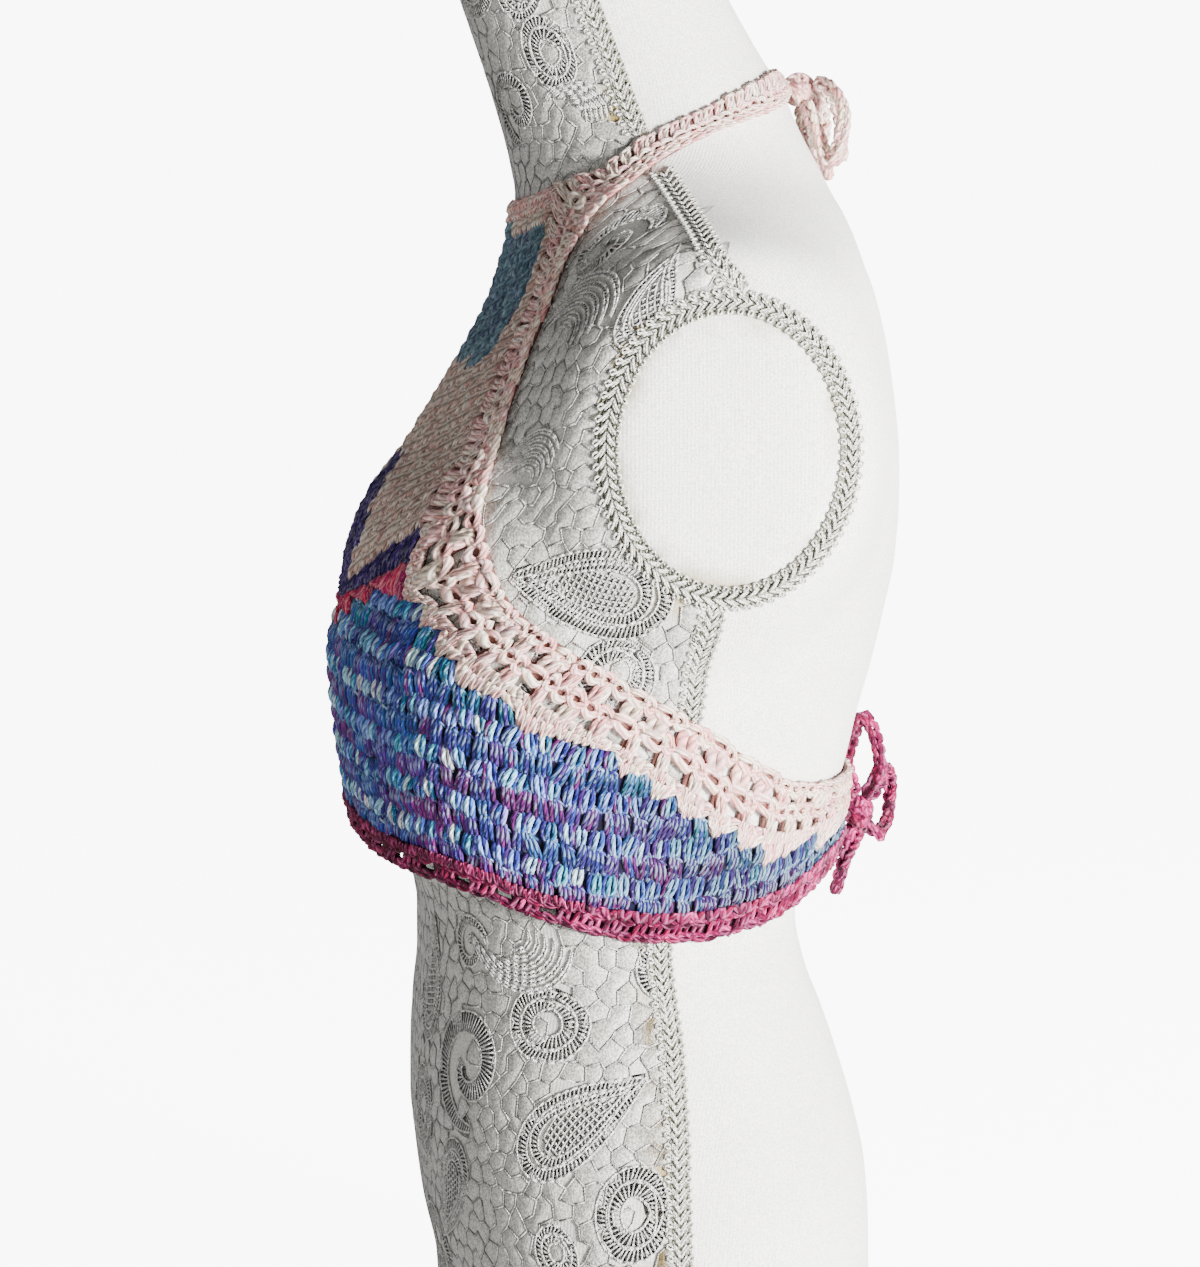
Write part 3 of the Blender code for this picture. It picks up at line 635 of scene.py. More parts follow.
@dataclass
class StitchRun:
    """Many copies of one stitch, each in its own cell of a patch."""

    template: bpy.types.Mesh
    width: float
    height: float
    cells: list[tuple[float, float, float, float]] = field(default_factory=list)
    tints: list[tuple[np.ndarray, ...]] = field(default_factory=list)
    lift: float = 0.0
    wander: float = 0.07

    def add(self, cell: tuple[float, float, float, float],
            *tones: np.ndarray) -> None:
        """Adds one stitch.

        Args:
            cell: Its first and last column, and its lowest and highest row.
            tones: Colours of its strands; the last one serves for the rest.
        """
        self.cells.append(cell)
        self.tints.append((*tones, tones[-1], tones[-1])[:3])

    def make(self, patch: Patch, rng: np.random.Generator
             ) -> tuple[bpy.types.Mesh, np.ndarray]:
        """Makes the copies and works out where they lie.

        Args:
            patch: The cloth that carries them.
            rng: Draws the small differences between them.

        Returns:
            The mesh and its vertices' places.
        """
        local = coordinates(self.template)
        cells = np.array(self.cells)[:, :, None]
        count = len(cells)
        sway = rng.normal(0, self.wander, (count, 2, 1))
        lean = rng.normal(0, 2.2 * self.wander, (count, 1))
        size = rng.uniform(0.84, 1.12, (count, 1))
        y = local[:, 1] / self.height + sway[:, 1]
        x = local[:, 0] / self.width + sway[:, 0] + lean * (y - 0.5)
        lift = local[:, 2] * size + self.lift
        across = cells[:, 0] + x * (cells[:, 1] - cells[:, 0])
        up = cells[:, 2] + y * (cells[:, 3] - cells[:, 2])
        mesh = repeated(self.template, count)
        tone = np.empty(len(self.template.vertices), dtype=np.float32)
        self.template.attributes["tone"].data.foreach_get("value", tone)
        tints = np.array(self.tints)
        shade = rng.uniform(0.86, 1.12, (count, 1, 1))
        colours = tints[:, np.rint(tone).astype(int)] * shade
        paint(mesh, np.clip(colours, 0, 1).reshape(-1, 3))
        return mesh, patch.carry(across, up, lift).reshape(-1, 3)


def joined(parts: list[tuple[bpy.types.Mesh, np.ndarray]]
           ) -> tuple[bpy.types.Mesh, np.ndarray]:
    """Joins meshes, and the places of their vertices, into one of each."""
    shape = bmesh.new()
    for mesh, _ in parts:
        shape.from_mesh(mesh)
    whole = bpy.data.meshes.new(parts[0][0].name)
    shape.to_mesh(whole)
    shape.free()
    return whole, np.concatenate([points for _, points in parts])


def bowed(points: Route, radius: float, tone: int = 0,
          steps: int = 6) -> Strand:
    """Returns a strand on a smooth line through a few points."""
    rows = [np.array(p, dtype=float) for p in points]
    length = sum(np.linalg.norm(b - a) for a, b in zip(rows, rows[1:]))
    route = smooth_route(rows, length / steps)
    return Strand(tuple(map(tuple, route)), radius, tone)


class StitchForm(Enum):
    """The stitches that the garment is worked in."""

    DROP = "drop"
    FAN = "fan"
    VEE = "vee"
    CHAIN = "chain"
    SLANT = "slant"
    CLUSTER = "cluster"
    BUMP = "bump"

    def strands(self, w: float, h: float, r: float) -> tuple[Strand, ...]:
        """Lays out the stitch's strands in its cell.

        Args:
            w: Width of the cell.
            h: Height of the cell.
            r: Radius of the yarn.

        Returns:
            The strands.
        """
        low, mid = CLEARANCE + 0.9, CLEARANCE + 1.9
        layouts = {
            StitchForm.DROP: (
                (((.26, -.20, low - .4), (.12, .25, mid), (.18, .66, mid),
                  (.40, 1.06, low - .3)), 1.0, 1, 6),
                (((.58, -.20, low - .4), (.76, .22, mid), (.90, .66, mid),
                  (.86, 1.06, low - .3)), 1.0, 2, 6),
                (((.40, -.12, low), (.42, .42, mid + .7),
                  (.64, .98, low)), 0.95, 0, 5)),
            StitchForm.FAN: (
                (((.34, 1.18, low), (.30, .62, mid + .2), (.12, -.15, low)),
                 1.0, 0, 5),
                (((.56, 1.15, low + .2), (.56, .50, mid + .5),
                  (.42, -.15, low)), 0.95, 1, 5),
                (((.78, 1.15, low), (.86, .58, mid + .2),
                  (.80, -.10, low)), 1.0, 0, 5),
                (((.44, 1.10, low), (.80, 1.0, mid), (1.10, .84, low)),
                 0.6, 2, 5)),
            StitchForm.VEE: (
                (((.52, -.06, low), (.34, .40, mid + .3), (.12, 1.06, mid)),
                 1.0, 0, 4),
                (((.50, -.06, low), (.68, .40, mid + .3), (.90, 1.06, mid)),
                 1.0, 1, 4)),
            StitchForm.CHAIN: (
                (((-.10, .50, low), (.40, .16, mid + .2), (.80, .22, mid + .3),
                  (1.20, .54, low + .3)), 1.0, 0, 6),
                (((-.10, .50, low), (.40, .86, mid + .2), (.80, .80, mid + .3),
                  (1.20, .46, low + .3)), 1.0, 1, 6)),
            StitchForm.SLANT: (
                (((-.10, -.20, low - .5), (.26, .40, mid + .6),
                  (.78, 1.16, low - .3)), 1.0, 0, 5),
                (((.38, -.16, low - .5), (.82, .54, mid + .5),
                  (1.26, 1.20, low - .3)), 0.9, 1, 5)),
            StitchForm.CLUSTER: (
                (((.44, -.20, low), (.16, .34, mid), (.22, 1.16, low)),
                 1.0, 0, 5),
                (((.50, -.20, low), (.48, .45, mid + .9), (.50, 1.16, low)),
                 1.1, 0, 5),
                (((.56, -.20, low), (.84, .34, mid), (.80, 1.16, low)),
                 1.0, 1, 5)),
            StitchForm.BUMP: (
                (((.00, -.22, low - .2), (.20, .42, mid + .3),
                  (.52, 1.16, low - .2)), 1.1, 0, 4),
                (((.50, -.22, low - .2), (.57, .40, mid + .2),
                  (1.02, 1.16, low - .2)), 1.15, 1, 4),
                (((.40, 1.02, low + .2), (.78, 1.04, mid + .1),
                  (1.20, .88, low)), 0.85, 1, 3)),
        }
        return tuple(
            bowed(tuple((x * w, y * h, lift) for x, y, lift in points),
                  share * r, tone, steps)
            for points, share, tone, steps in layouts[self])

    def run(self, w: float, h: float, r: float, lift: float = 0.0
            ) -> StitchRun:
        """Returns an empty run of this stitch."""
        return StitchRun(stitch(self.value, self.strands(w, h, r)), w, h,
                         lift=lift)


def cloth_shell(name: str, patch: Patch, material: bpy.types.Material,
                colour: np.ndarray, holes: frozenset[tuple[int, int]],
                split: tuple[int, int] = (2, 2),
                lifts: tuple[float, float] = (CLEARANCE, CLEARANCE + 1.1)
                ) -> bpy.types.Object:
    """Makes the thin cloth that a patch's stitches stand on, in one dark colour:
    painted shade in the gaps between the stitches.

    Args:
        name: The piece's name.
        patch: Its shape.
        material: Its yarn.
        colour: Linear colour of the cloth between the stitches, darker than the
            yarn: painted shade in the gaps.
        holes: (column, row) cells that stay open.
        split: Faces across and up in each cell.
        lifts: Heights of its inner and outer face off the surface.

    Returns:
        The piece.
    """
    cells = [size - 1 for size in patch.columns.shape[:2]]
    across, up = cells[0] * split[0], cells[1] * split[1]
    sheet = bmesh.new()
    bmesh.ops.create_grid(sheet, x_segments=across, y_segments=up, size=0.5)
    closed = []
    for face in sheet.faces:
        middle = face.calc_center_median()
        cell = (int((middle.x + 0.5) * cells[0]),
                int((middle.y + 0.5) * cells[1]))
        if cell in holes:
            closed.append(face)
    bmesh.ops.delete(sheet, geom=closed, context="FACES")
    raised = bmesh.ops.extrude_face_region(
        sheet, geom=sheet.faces[:], use_keep_orig=True)
    top = [v for v in raised["geom"] if isinstance(v, bmesh.types.BMVert)]
    bmesh.ops.translate(sheet, vec=(0, 0, 1), verts=top)
    bmesh.ops.recalc_face_normals(sheet, faces=sheet.faces)
    mesh = bpy.data.meshes.new(name)
    sheet.to_mesh(mesh)
    sheet.free()
    local = coordinates(mesh)
    lift = lifts[0] + (lifts[1] - lifts[0]) * local[:, 2]
    points = patch.carry((local[:, 0] + 0.5) * cells[0],
                         (local[:, 1] + 0.5) * cells[1], lift)
    # Painted shade: the whole cloth takes one dark colour, seen in the gaps
    # between stitches.
    paint(mesh, np.tile(colour, (len(local), 1)))
    return new_piece(name, mesh, points, material, flip=patch.side < 0)


# ------------------------------------------------------------------- finishes
class Graph:
    """A short way to lay out shader nodes."""

    def __init__(self, tree: bpy.types.NodeTree) -> None:
        """Works in the given tree."""
        self.tree = tree

    def node(self, kind: str, **values: object) -> bpy.types.Node:
        """Adds a node.

        Args:
            kind: The node's type, without its ShaderNode prefix.
            values: Properties, and inputs as in_NAME with a value or socket.

        Returns:
            The node.
        """
        prefix = "Node" if kind.startswith("Group") and kind != "Group" else (
            "ShaderNode")
        node = self.tree.nodes.new(prefix + kind)
        for key, value in values.items():
            if not key.startswith("in_"):
                setattr(node, key, value)
        for key, value in values.items():
            if key.startswith("in_"):
                slot = key[3:]
                socket = node.inputs[int(slot) if slot.isdigit()
                                     else slot.replace("_", " ")]
                if isinstance(value, bpy.types.NodeSocket):
                    self.tree.links.new(value, socket)
                else:
                    socket.default_value = value
        return node

    def math(self, operation: str, *inputs: object) -> bpy.types.NodeSocket:
        """Returns the result of a math node."""
        node = self.node("Math", operation=operation,
                         **{f"in_{i}": v for i, v in enumerate(inputs)})
        return node.outputs[0]

    def mix(self, share: object, first: object, second: object
            ) -> bpy.types.NodeSocket:
        """Returns a mix of two colours."""
        node = self.node("Mix", data_type="RGBA", in_0=share, in_6=first,
                         in_7=second)
        return node.outputs[2]

    def noise(self, scale: float, detail: float = 2.0,
              vector: object = None) -> bpy.types.NodeSocket:
        """Returns a noise over the object's coordinates or a vector."""
        place = vector or self.node("TexCoord").outputs["Object"]
        node = self.node("TexNoise", in_Vector=place, in_Scale=scale,
                         in_Detail=detail, in_Roughness=0.6)
        return node.outputs[0]


def new_group(name: str, inputs: dict[str, float], outputs: tuple[str, ...]
              ) -> tuple[bpy.types.NodeTree, Graph]:
    """Starts a node group with value inputs and value outputs."""
    group = bpy.data.node_groups.new(name, "ShaderNodeTree")
    for label, value in inputs.items():
        socket = group.interface.new_socket(label, in_out="INPUT",
                                            socket_type="NodeSocketFloat")
        socket.default_value = value
    for label in outputs:
        group.interface.new_socket(label, in_out="OUTPUT",
                                   socket_type="NodeSocketFloat")
    return group, Graph(group)


class Effects:
    """Effects that several finishes share, each built once."""

    @staticmethod
    def ply_twist() -> bpy.types.NodeTree:
        """Builds the twist of a plied yarn, from its ply attribute."""
        group, g = new_group("ply_twist", {"Plies": 3.0, "Pitch": 5.0},
                             ("Crest", "Fibre", "Pale", "Deep"))
        source = g.node("Attribute", attribute_name="ply")
        parts = g.node("SeparateXYZ", in_0=source.outputs["Vector"])
        given = g.node("GroupInput")
        angle = g.math("ARCTAN2", parts.outputs[1], parts.outputs[0])
        angle = g.math("DIVIDE", angle, 2 * math.pi)
        around = g.math("MULTIPLY", angle, given.outputs["Plies"])
        along = g.math("DIVIDE", parts.outputs[2], given.outputs["Pitch"])
        turns = g.math("ADD", around, along)
        phase = g.math("FRACT", turns)
        drift = g.math("MULTIPLY", g.noise(190.0, 1.0), 4.0)
        number = g.math("FRACT", g.math("DIVIDE", g.math(
            "ADD", g.math("FLOOR", turns), g.math("FLOOR", drift)), 3.0))
        pale = g.math("LESS_THAN", number, 0.2)
        deep = g.math("GREATER_THAN", number, 0.5)
        fold = g.math("ABSOLUTE", g.math("SUBTRACT", phase, 0.5))
        crest = g.math("SUBTRACT", 1.0, g.math("MULTIPLY", fold, 2.0))
        crest = g.math("POWER", crest, 0.7)
        fibre = g.noise(2600.0, 3.0)
        g.node("GroupOutput", in_Crest=crest, in_Fibre=fibre, in_Pale=pale,
               in_Deep=deep)
        return group

    @staticmethod
    def cloth_grain() -> bpy.types.NodeTree:
        """Builds the wales of a fine knit, from the place attribute."""
        group, g = new_group("cloth_grain", {"Wale": 1.5, "Course": 1.2},
                             ("Height", "Soil"))
        source = g.node("Attribute", attribute_name="place")
        parts = g.node("SeparateXYZ", in_0=source.outputs["Vector"])
        given = g.node("GroupInput")
        wale = g.math("DIVIDE", parts.outputs[0], given.outputs["Wale"])
        course = g.math("DIVIDE", parts.outputs[1], given.outputs["Course"])
        wale = g.math("SINE", g.math("MULTIPLY", wale, 2 * math.pi))
        course = g.math("SINE", g.math("MULTIPLY", course, 2 * math.pi))
        height = g.math("ADD", wale, g.math("MULTIPLY", course, 0.4))
        soil = g.noise(18.0, 4.0)
        g.node("GroupOutput", in_Height=height, in_Soil=soil)
        return group


@dataclass(frozen=True)
class YarnFinish:
    """A plied yarn, whose colours come with its stitches."""

    name: str
    shade: tuple[float, float, float]
    # The groove factor is painted shade: the colour in the valleys between the
    # plies is multiplied by it.
    groove_shade: float = 0.50
    pale: float = 0.30
    deep: float = 0.45
    light: tuple[float, float, float] = (0.93, 0.91, 0.92)
    plies: float = 4.0
    pitch: float = 3.6

    def build(self, twist: bpy.types.NodeTree) -> bpy.types.Material:
        """Builds the yarn's material.

        Args:
            twist: The ply twist group.

        Returns:
            The material.
        """
        material = bpy.data.materials.new("crochet_" + self.name)
        material.use_nodes = True
        g = Graph(material.node_tree)
        shader = material.node_tree.nodes["Principled BSDF"]
        ply = g.node("Group", node_tree=twist)
        ply.inputs["Plies"].default_value = self.plies
        ply.inputs["Pitch"].default_value = self.pitch
        crest, fibre = ply.outputs["Crest"], ply.outputs["Fibre"]
        tint = g.node("Attribute", attribute_name="tint").outputs["Color"]
        shade, light = ((*row, 1.0) for row in linear(self.shade, self.light))
        tint = g.mix(g.math("MULTIPLY", ply.outputs["Pale"], self.pale),
                     tint, light)
        tint = g.mix(g.math("MULTIPLY", ply.outputs["Deep"], self.deep),
                     tint, shade)
        # Painted shade: the colour darkens in the valleys between the plies and
        # is full at their crests.
        groove_shade = g.node("Mix", data_type="RGBA", blend_type="MULTIPLY",
                        in_0=1.0, in_6=tint, in_7=(self.groove_shade,) * 3 + (1,))
        lit = g.mix(crest, groove_shade.outputs[2], tint)
        fleck = g.node("MapRange", in_0=fibre, in_1=0.35, in_2=0.70,
                       in_3=0.80, in_4=1.15)
        shaded = g.node("Mix", data_type="RGBA", blend_type="MULTIPLY",
                        in_0=1.0, in_6=lit, in_7=fleck.outputs[0])
        g.tree.links.new(shaded.outputs[2], shader.inputs["Base Color"])
        shader.inputs["Roughness"].default_value = 0.72
        shader.inputs["Specular IOR Level"].default_value = 0.14
        shader.inputs["Sheen Weight"].default_value = 0.05
        shader.inputs["Sheen Roughness"].default_value = 0.5
        relief = g.math("ADD", crest, g.math("MULTIPLY", fibre, 0.35))
        bump = g.node("Bump", in_Height=relief, in_Strength=0.9,
                      in_Distance=0.0004)
        g.tree.links.new(bump.outputs[0], shader.inputs["Normal"])
        return material


@dataclass(frozen=True)
class CoverFinish:
    """The knit cover of the form: linen grey in front, white behind."""

    name: str
    front: tuple[float, float, float] = (0.80, 0.79, 0.76)
    back: tuple[float, float, float] = (0.93, 0.925, 0.90)
    aged: tuple[float, float, float] = (0.52, 0.43, 0.16)

    def build(self, grain: bpy.types.NodeTree) -> bpy.types.Material:
        """Builds the cover's material.

        Args:
            grain: The cloth grain group.

        Returns:
            The material.
        """
        material = bpy.data.materials.new(self.name)
        material.use_nodes = True
        g = Graph(material.node_tree)
        shader = material.node_tree.nodes["Principled BSDF"]
        knit = g.node("Group", node_tree=grain)
        source = g.node("Attribute", attribute_name="place")
        zone = g.node("SeparateXYZ", in_0=source.outputs["Vector"])
        front, back, aged = (
            (*row, 1.0) for row in linear(self.front, self.back, self.aged))
        base = g.mix(zone.outputs[2], back, front)
        soil = g.node("MapRange", in_0=knit.outputs["Soil"], in_1=0.35,
                      in_2=0.75, in_3=1.0, in_4=0.90)
        base = g.node("Mix", data_type="RGBA", blend_type="MULTIPLY",
                      in_0=1.0, in_6=base, in_7=soil.outputs[0]).outputs[2]
        speck = g.node("MapRange", in_0=g.noise(1300.0, 2.0), in_1=0.38,
                       in_2=0.62, in_3=0.70, in_4=1.06)
        base = g.node("Mix", data_type="RGBA", blend_type="MULTIPLY",
                      in_0=1.0, in_6=base, in_7=speck.outputs[0]).outputs[2]
        age = g.node("Attribute", attribute_name="age").outputs["Fac"]
        patchy = g.node("MapRange", in_0=g.noise(40.0), in_1=0.42, in_2=0.62,
                        in_3=0.0, in_4=1.0).outputs[0]
        base = g.mix(g.math("MULTIPLY", age, patchy), base, aged)
        g.tree.links.new(base, shader.inputs["Base Color"])
        shader.inputs["Roughness"].default_value = 0.85
        shader.inputs["Specular IOR Level"].default_value = 0.2
        fuzz = g.math("MULTIPLY", g.noise(900.0, 3.0), 1.2)
        height = g.math("ADD", g.math("MULTIPLY", knit.outputs["Height"], 0.35),
                        fuzz)
        bump = g.node("Bump", in_Height=height, in_Strength=0.35,
                      in_Distance=0.0003)
        g.tree.links.new(bump.outputs[0], shader.inputs["Normal"])
        return material


@dataclass(frozen=True)
class LaceFinish:
    """The silky thread of the lace and the braid."""

    name: str
    twist_pitch: float = 1.1
    stipple: float = 1100.0

    def build(self, twist: bpy.types.NodeTree) -> bpy.types.Material:
        """Builds the thread's material.

        Args:
            twist: The ply twist group.

        Returns:
            The material.
        """
        material = bpy.data.materials.new(self.name)
        material.use_nodes = True
        g = Graph(material.node_tree)
        shader = material.node_tree.nodes["Principled BSDF"]
        ply = g.node("Group", node_tree=twist)
        ply.inputs["Plies"].default_value = 2.0
        ply.inputs["Pitch"].default_value = self.twist_pitch
        tint = g.node("Attribute", attribute_name="tint").outputs["Color"]
        stitches = g.noise(self.stipple, 2.0)
        # The thread's colour varies with the stitch noise, from 0.52 to 1.16
        # times.
        worn = g.node("MapRange", in_0=stitches, in_1=0.42, in_2=0.60,
                      in_3=0.52, in_4=1.16)
        # Painted shade: the colour darkens to 0.6 times in the valleys between
        # the plies.
        ply_valley_shade = g.node("MapRange", in_0=ply.outputs["Crest"], in_1=0.0,
                         in_2=0.6, in_3=0.60, in_4=1.0)
        shade = g.math("MULTIPLY", worn.outputs[0], ply_valley_shade.outputs[0])
        base = g.node("Mix", data_type="RGBA", blend_type="MULTIPLY",
                      in_0=1.0, in_6=tint, in_7=shade)
        g.tree.links.new(base.outputs[2], shader.inputs["Base Color"])
        shader.inputs["Roughness"].default_value = 0.36
        shader.inputs["Specular IOR Level"].default_value = 0.7
        shader.inputs["Sheen Weight"].default_value = 0.2
        relief = g.math("ADD", ply.outputs["Crest"], stitches)
        bump = g.node("Bump", in_Height=relief, in_Strength=0.8,
                      in_Distance=0.0005)
        g.tree.links.new(bump.outputs[0], shader.inputs["Normal"])
        return material


@dataclass
class Finishes:
    """Every material of the part, built once."""

    def __post_init__(self) -> None:
        """Builds the groups and then the materials."""
        twist, grain = Effects.ply_twist(), Effects.cloth_grain()
        self.blue = YarnFinish("blue_yarn", (0.13, 0.08, 0.32), groove_shade=0.40,
                               pale=0.28, deep=0.50, light=(0.72, 0.84, 0.94)
                               ).build(twist)
        self.coral = YarnFinish("coral_yarn", (0.50, 0.05, 0.30), groove_shade=0.60,
                                pale=0.32, deep=0.4, light=(0.96, 0.66, 0.66)
                                ).build(twist)
        self.violet = YarnFinish("violet_yarn", (0.13, 0.08, 0.24),
                                 pale=0.15).build(twist)
        self.teal = YarnFinish("teal_yarn", (0.12, 0.22, 0.30), groove_shade=0.60,
                               pale=0.18, light=(0.72, 0.84, 0.86)
                               ).build(twist)
        self.pink = YarnFinish("pink_yarn", (0.74, 0.50, 0.45), groove_shade=0.40,
                               pale=0.44, deep=0.38, light=(0.98, 0.95, 0.90)
                               ).build(twist)
        self.raspberry = YarnFinish("raspberry_yarn", (0.28, 0.0, 0.16),
                                    groove_shade=0.36, pale=0.26, deep=0.55,
                                    light=(0.90, 0.46, 0.68)).build(twist)
        self.cover = CoverFinish("form_knit_cover").build(grain)
        self.lace = LaceFinish("lace_thread").build(twist)
        self.braid = LaceFinish("braid_thread", twist_pitch=1.4).build(twist)


class Tones:
    """Linear colours of the yarns, as rows."""

    LIGHT = linear((0.44, 0.54, 0.82), (0.44, 0.68, 0.80), (0.26, 0.58, 0.68),
                   (0.64, 0.79, 0.90), (0.80, 0.89, 0.94), (0.54, 0.70, 0.86))
    MIDDLE = linear((0.15, 0.18, 0.50), (0.14, 0.35, 0.57), (0.25, 0.17, 0.50),
                    (0.09, 0.35, 0.48), (0.25, 0.37, 0.68))
    DARK = linear((0.36, 0.07, 0.36), (0.26, 0.11, 0.42), (0.18, 0.13, 0.43),
                  (0.13, 0.14, 0.39), (0.16, 0.21, 0.53), (0.30, 0.15, 0.46),
                  (0.12, 0.27, 0.50))
    LILAC = linear((0.48, 0.38, 0.72), (0.34, 0.34, 0.70), (0.64, 0.70, 0.90))
    TEAL = linear((0.07, 0.36, 0.44), (0.14, 0.48, 0.56), (0.04, 0.26, 0.36))
    PETROL = linear((0.42, 0.55, 0.61), (0.54, 0.65, 0.69), (0.33, 0.44, 0.52),
                    (0.42, 0.45, 0.57))
    CORAL = linear((0.86, 0.14, 0.36), (0.74, 0.09, 0.38), (0.90, 0.34, 0.44),
                   (0.60, 0.08, 0.36), (0.93, 0.50, 0.56), (0.82, 0.16, 0.34))
    VIOLET = linear((0.25, 0.15, 0.44), (0.33, 0.22, 0.55), (0.18, 0.10, 0.36))
    PINK = linear((0.97, 0.76, 0.71), (0.97, 0.82, 0.76), (0.95, 0.67, 0.65),
                  (0.98, 0.88, 0.79), (0.96, 0.75, 0.74))
    DUSTY = linear((0.94, 0.81, 0.75), (0.95, 0.85, 0.78), (0.92, 0.77, 0.72),
                   (0.94, 0.88, 0.80))
    BLUSH = linear((0.95, 0.71, 0.71), (0.97, 0.79, 0.77), (0.98, 0.90, 0.84))
    RASPBERRY = linear((0.46, 0.0, 0.20), (0.36, 0.0, 0.17),
                       (0.56, 0.0, 0.26), (0.28, 0.0, 0.14))
    ROSE = linear((0.76, 0.20, 0.46), (0.52, 0.01, 0.28), (0.40, 0.0, 0.20))
    # The ground colours are painted shade: the dark cloth under the stitches,
    # seen in the gaps between them.
    SHADED_GROUND_BLUE = linear((0.04, 0.04, 0.14))[0]
    SHADED_GROUND_CORAL = linear((0.30, 0.02, 0.10))[0]
    SHADED_GROUND_VIOLET = linear((0.09, 0.06, 0.16))[0]
    GROUND_PINK = linear((0.54, 0.34, 0.31))[0]
    SHADED_GROUND_RASPBERRY = linear((0.22, 0.0, 0.08))[0]


def pick(rng: np.random.Generator, tones: np.ndarray) -> np.ndarray:
    """Draws one colour from rows of them."""
    return tones[rng.integers(len(tones))]


# ------------------------------------------------------------- form and trims
@dataclass
class FormCover:
    """The dress form's padded torso in its knit cover."""

    finishes: Finishes
    around: int = 160
    levels: int = 130
    age_reach: float = 7.0

    def build(self) -> bpy.types.Object:
        """Builds the cover and lets it stand for the form.

        Returns:
            The cover's piece.
        """
        torso = bmesh.new()
        bmesh.ops.create_grid(torso, x_segments=self.around,
                              y_segments=self.levels, size=0.5)
        for vertex in torso.verts:
            height = (vertex.co.y + 0.5) * FORM_TOP
            turn = 2 * vertex.co.x
            vertex.co = Vector((turn, height, 0))
        mesh = bpy.data.meshes.new("form_cover")
        torso.to_mesh(mesh)
        torso.free()
        local = coordinates(mesh)
        turn, height = local[:, 0], local[:, 1]
        points = SKIN.carry(height, turn, 0.0)
        shape = bmesh.new()
        shape.from_mesh(mesh)
        shape.verts.ensure_lookup_table()
        place = shape.verts.layers.float_vector.new("place")
        age = shape.verts.layers.float.new("age")
        girth = SKIN.half_girth(height)
        gap = (np.abs(turn) - LACE_EDGE(height)) * girth
        front = np.clip(0.5 - gap / 2.0, 0, 1)
        stain = np.exp(-((gap + 4.5) / self.age_reach) ** 2)
        for i, vertex in enumerate(shape.verts):
            vertex.co = points[i] * MM
            vertex[place] = Vector((turn[i] * girth[i], height[i], front[i]))
            vertex[age] = stain[i]
        bmesh.ops.remove_doubles(shape, verts=shape.verts, dist=0.00002)
        rims = [e for e in shape.edges if e.is_boundary]
        bmesh.ops.holes_fill(shape, edges=rims, sides=0)
        bmesh.ops.recalc_face_normals(shape, faces=shape.faces)
        shape.to_mesh(mesh)
        shape.free()
        whole = coordinates(mesh) / MM
        piece = new_piece("dress_form_cover", mesh, whole, self.finishes.cover)
        mesh.set_sharp_from_angle(angle=math.radians(50))
        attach(piece, "root")
        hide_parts("dress_form")
        return piece


class MotifForm(Enum):
    """The shapes in the lace."""

    RING = "ring"
    LEAF = "leaf"
    SCROLL = "scroll"
    FAN = "fan"


class Motif(NamedTuple):
    """A shape in the lace, by its place (s round the body, z) and its size."""

    form: MotifForm
    s: float
    z: float
    size: float
    angle: float
    hand: int = 1

    def lines(self) -> list[tuple[np.ndarray, float]]:
        """Returns its bands, as middle lines of (s, z) and half widths."""
        t = np.linspace(0, 1, 80)
        size = self.size
        if self.form is MotifForm.RING:
            angle = 2 * math.pi * t
            line = np.stack([0.72 * np.cos(angle), 0.9 * np.sin(angle)], 1)
            bands = [(line * size, 0.15 * size), (line * 0.62 * size,
                                                  0.17 * size)]
        elif self.form is MotifForm.LEAF:
            angle = 2 * math.pi * t
            x = 0.62 * np.sin(angle) * np.sin(angle / 2) ** 1.1
            y = np.cos(angle)
            x = x + 0.40 * (0.5 + 0.5 * y) ** 2
            line = np.stack([x, y], 1)
            bands = [(line * size, 0.09 * size), (
                (0.76 * (line - (0.1, 0)) + (0.1, 0)) * size, 0.07 * size)]
        elif self.form is MotifForm.SCROLL:
            angle = 2 * math.pi * 1.3 * t
            reach = 0.22 + 0.78 * (1 - t)
            bands = [(np.stack([reach * np.cos(angle), reach * np.sin(angle)],
                               1) * size, 0.17 * size)]
        else:
            bands = []
            for k in range(6):
                angle = np.radians(-20 - 4 * k + (150 - 9 * k) * t)
                reach = 1.0 - 0.13 * k
                line = np.stack([1.3 * reach * np.cos(angle),
                                 reach * np.sin(angle)], 1)
                bands.append((line * size, 0.035 * size))
        cosine = math.cos(math.radians(self.angle))
        sine = math.sin(math.radians(self.angle))
        turn = np.array(((cosine, sine), (-sine, cosine)))
        return [((line * (self.hand, 1)) @ turn + (self.s, self.z), half)
                for line, half in bands]


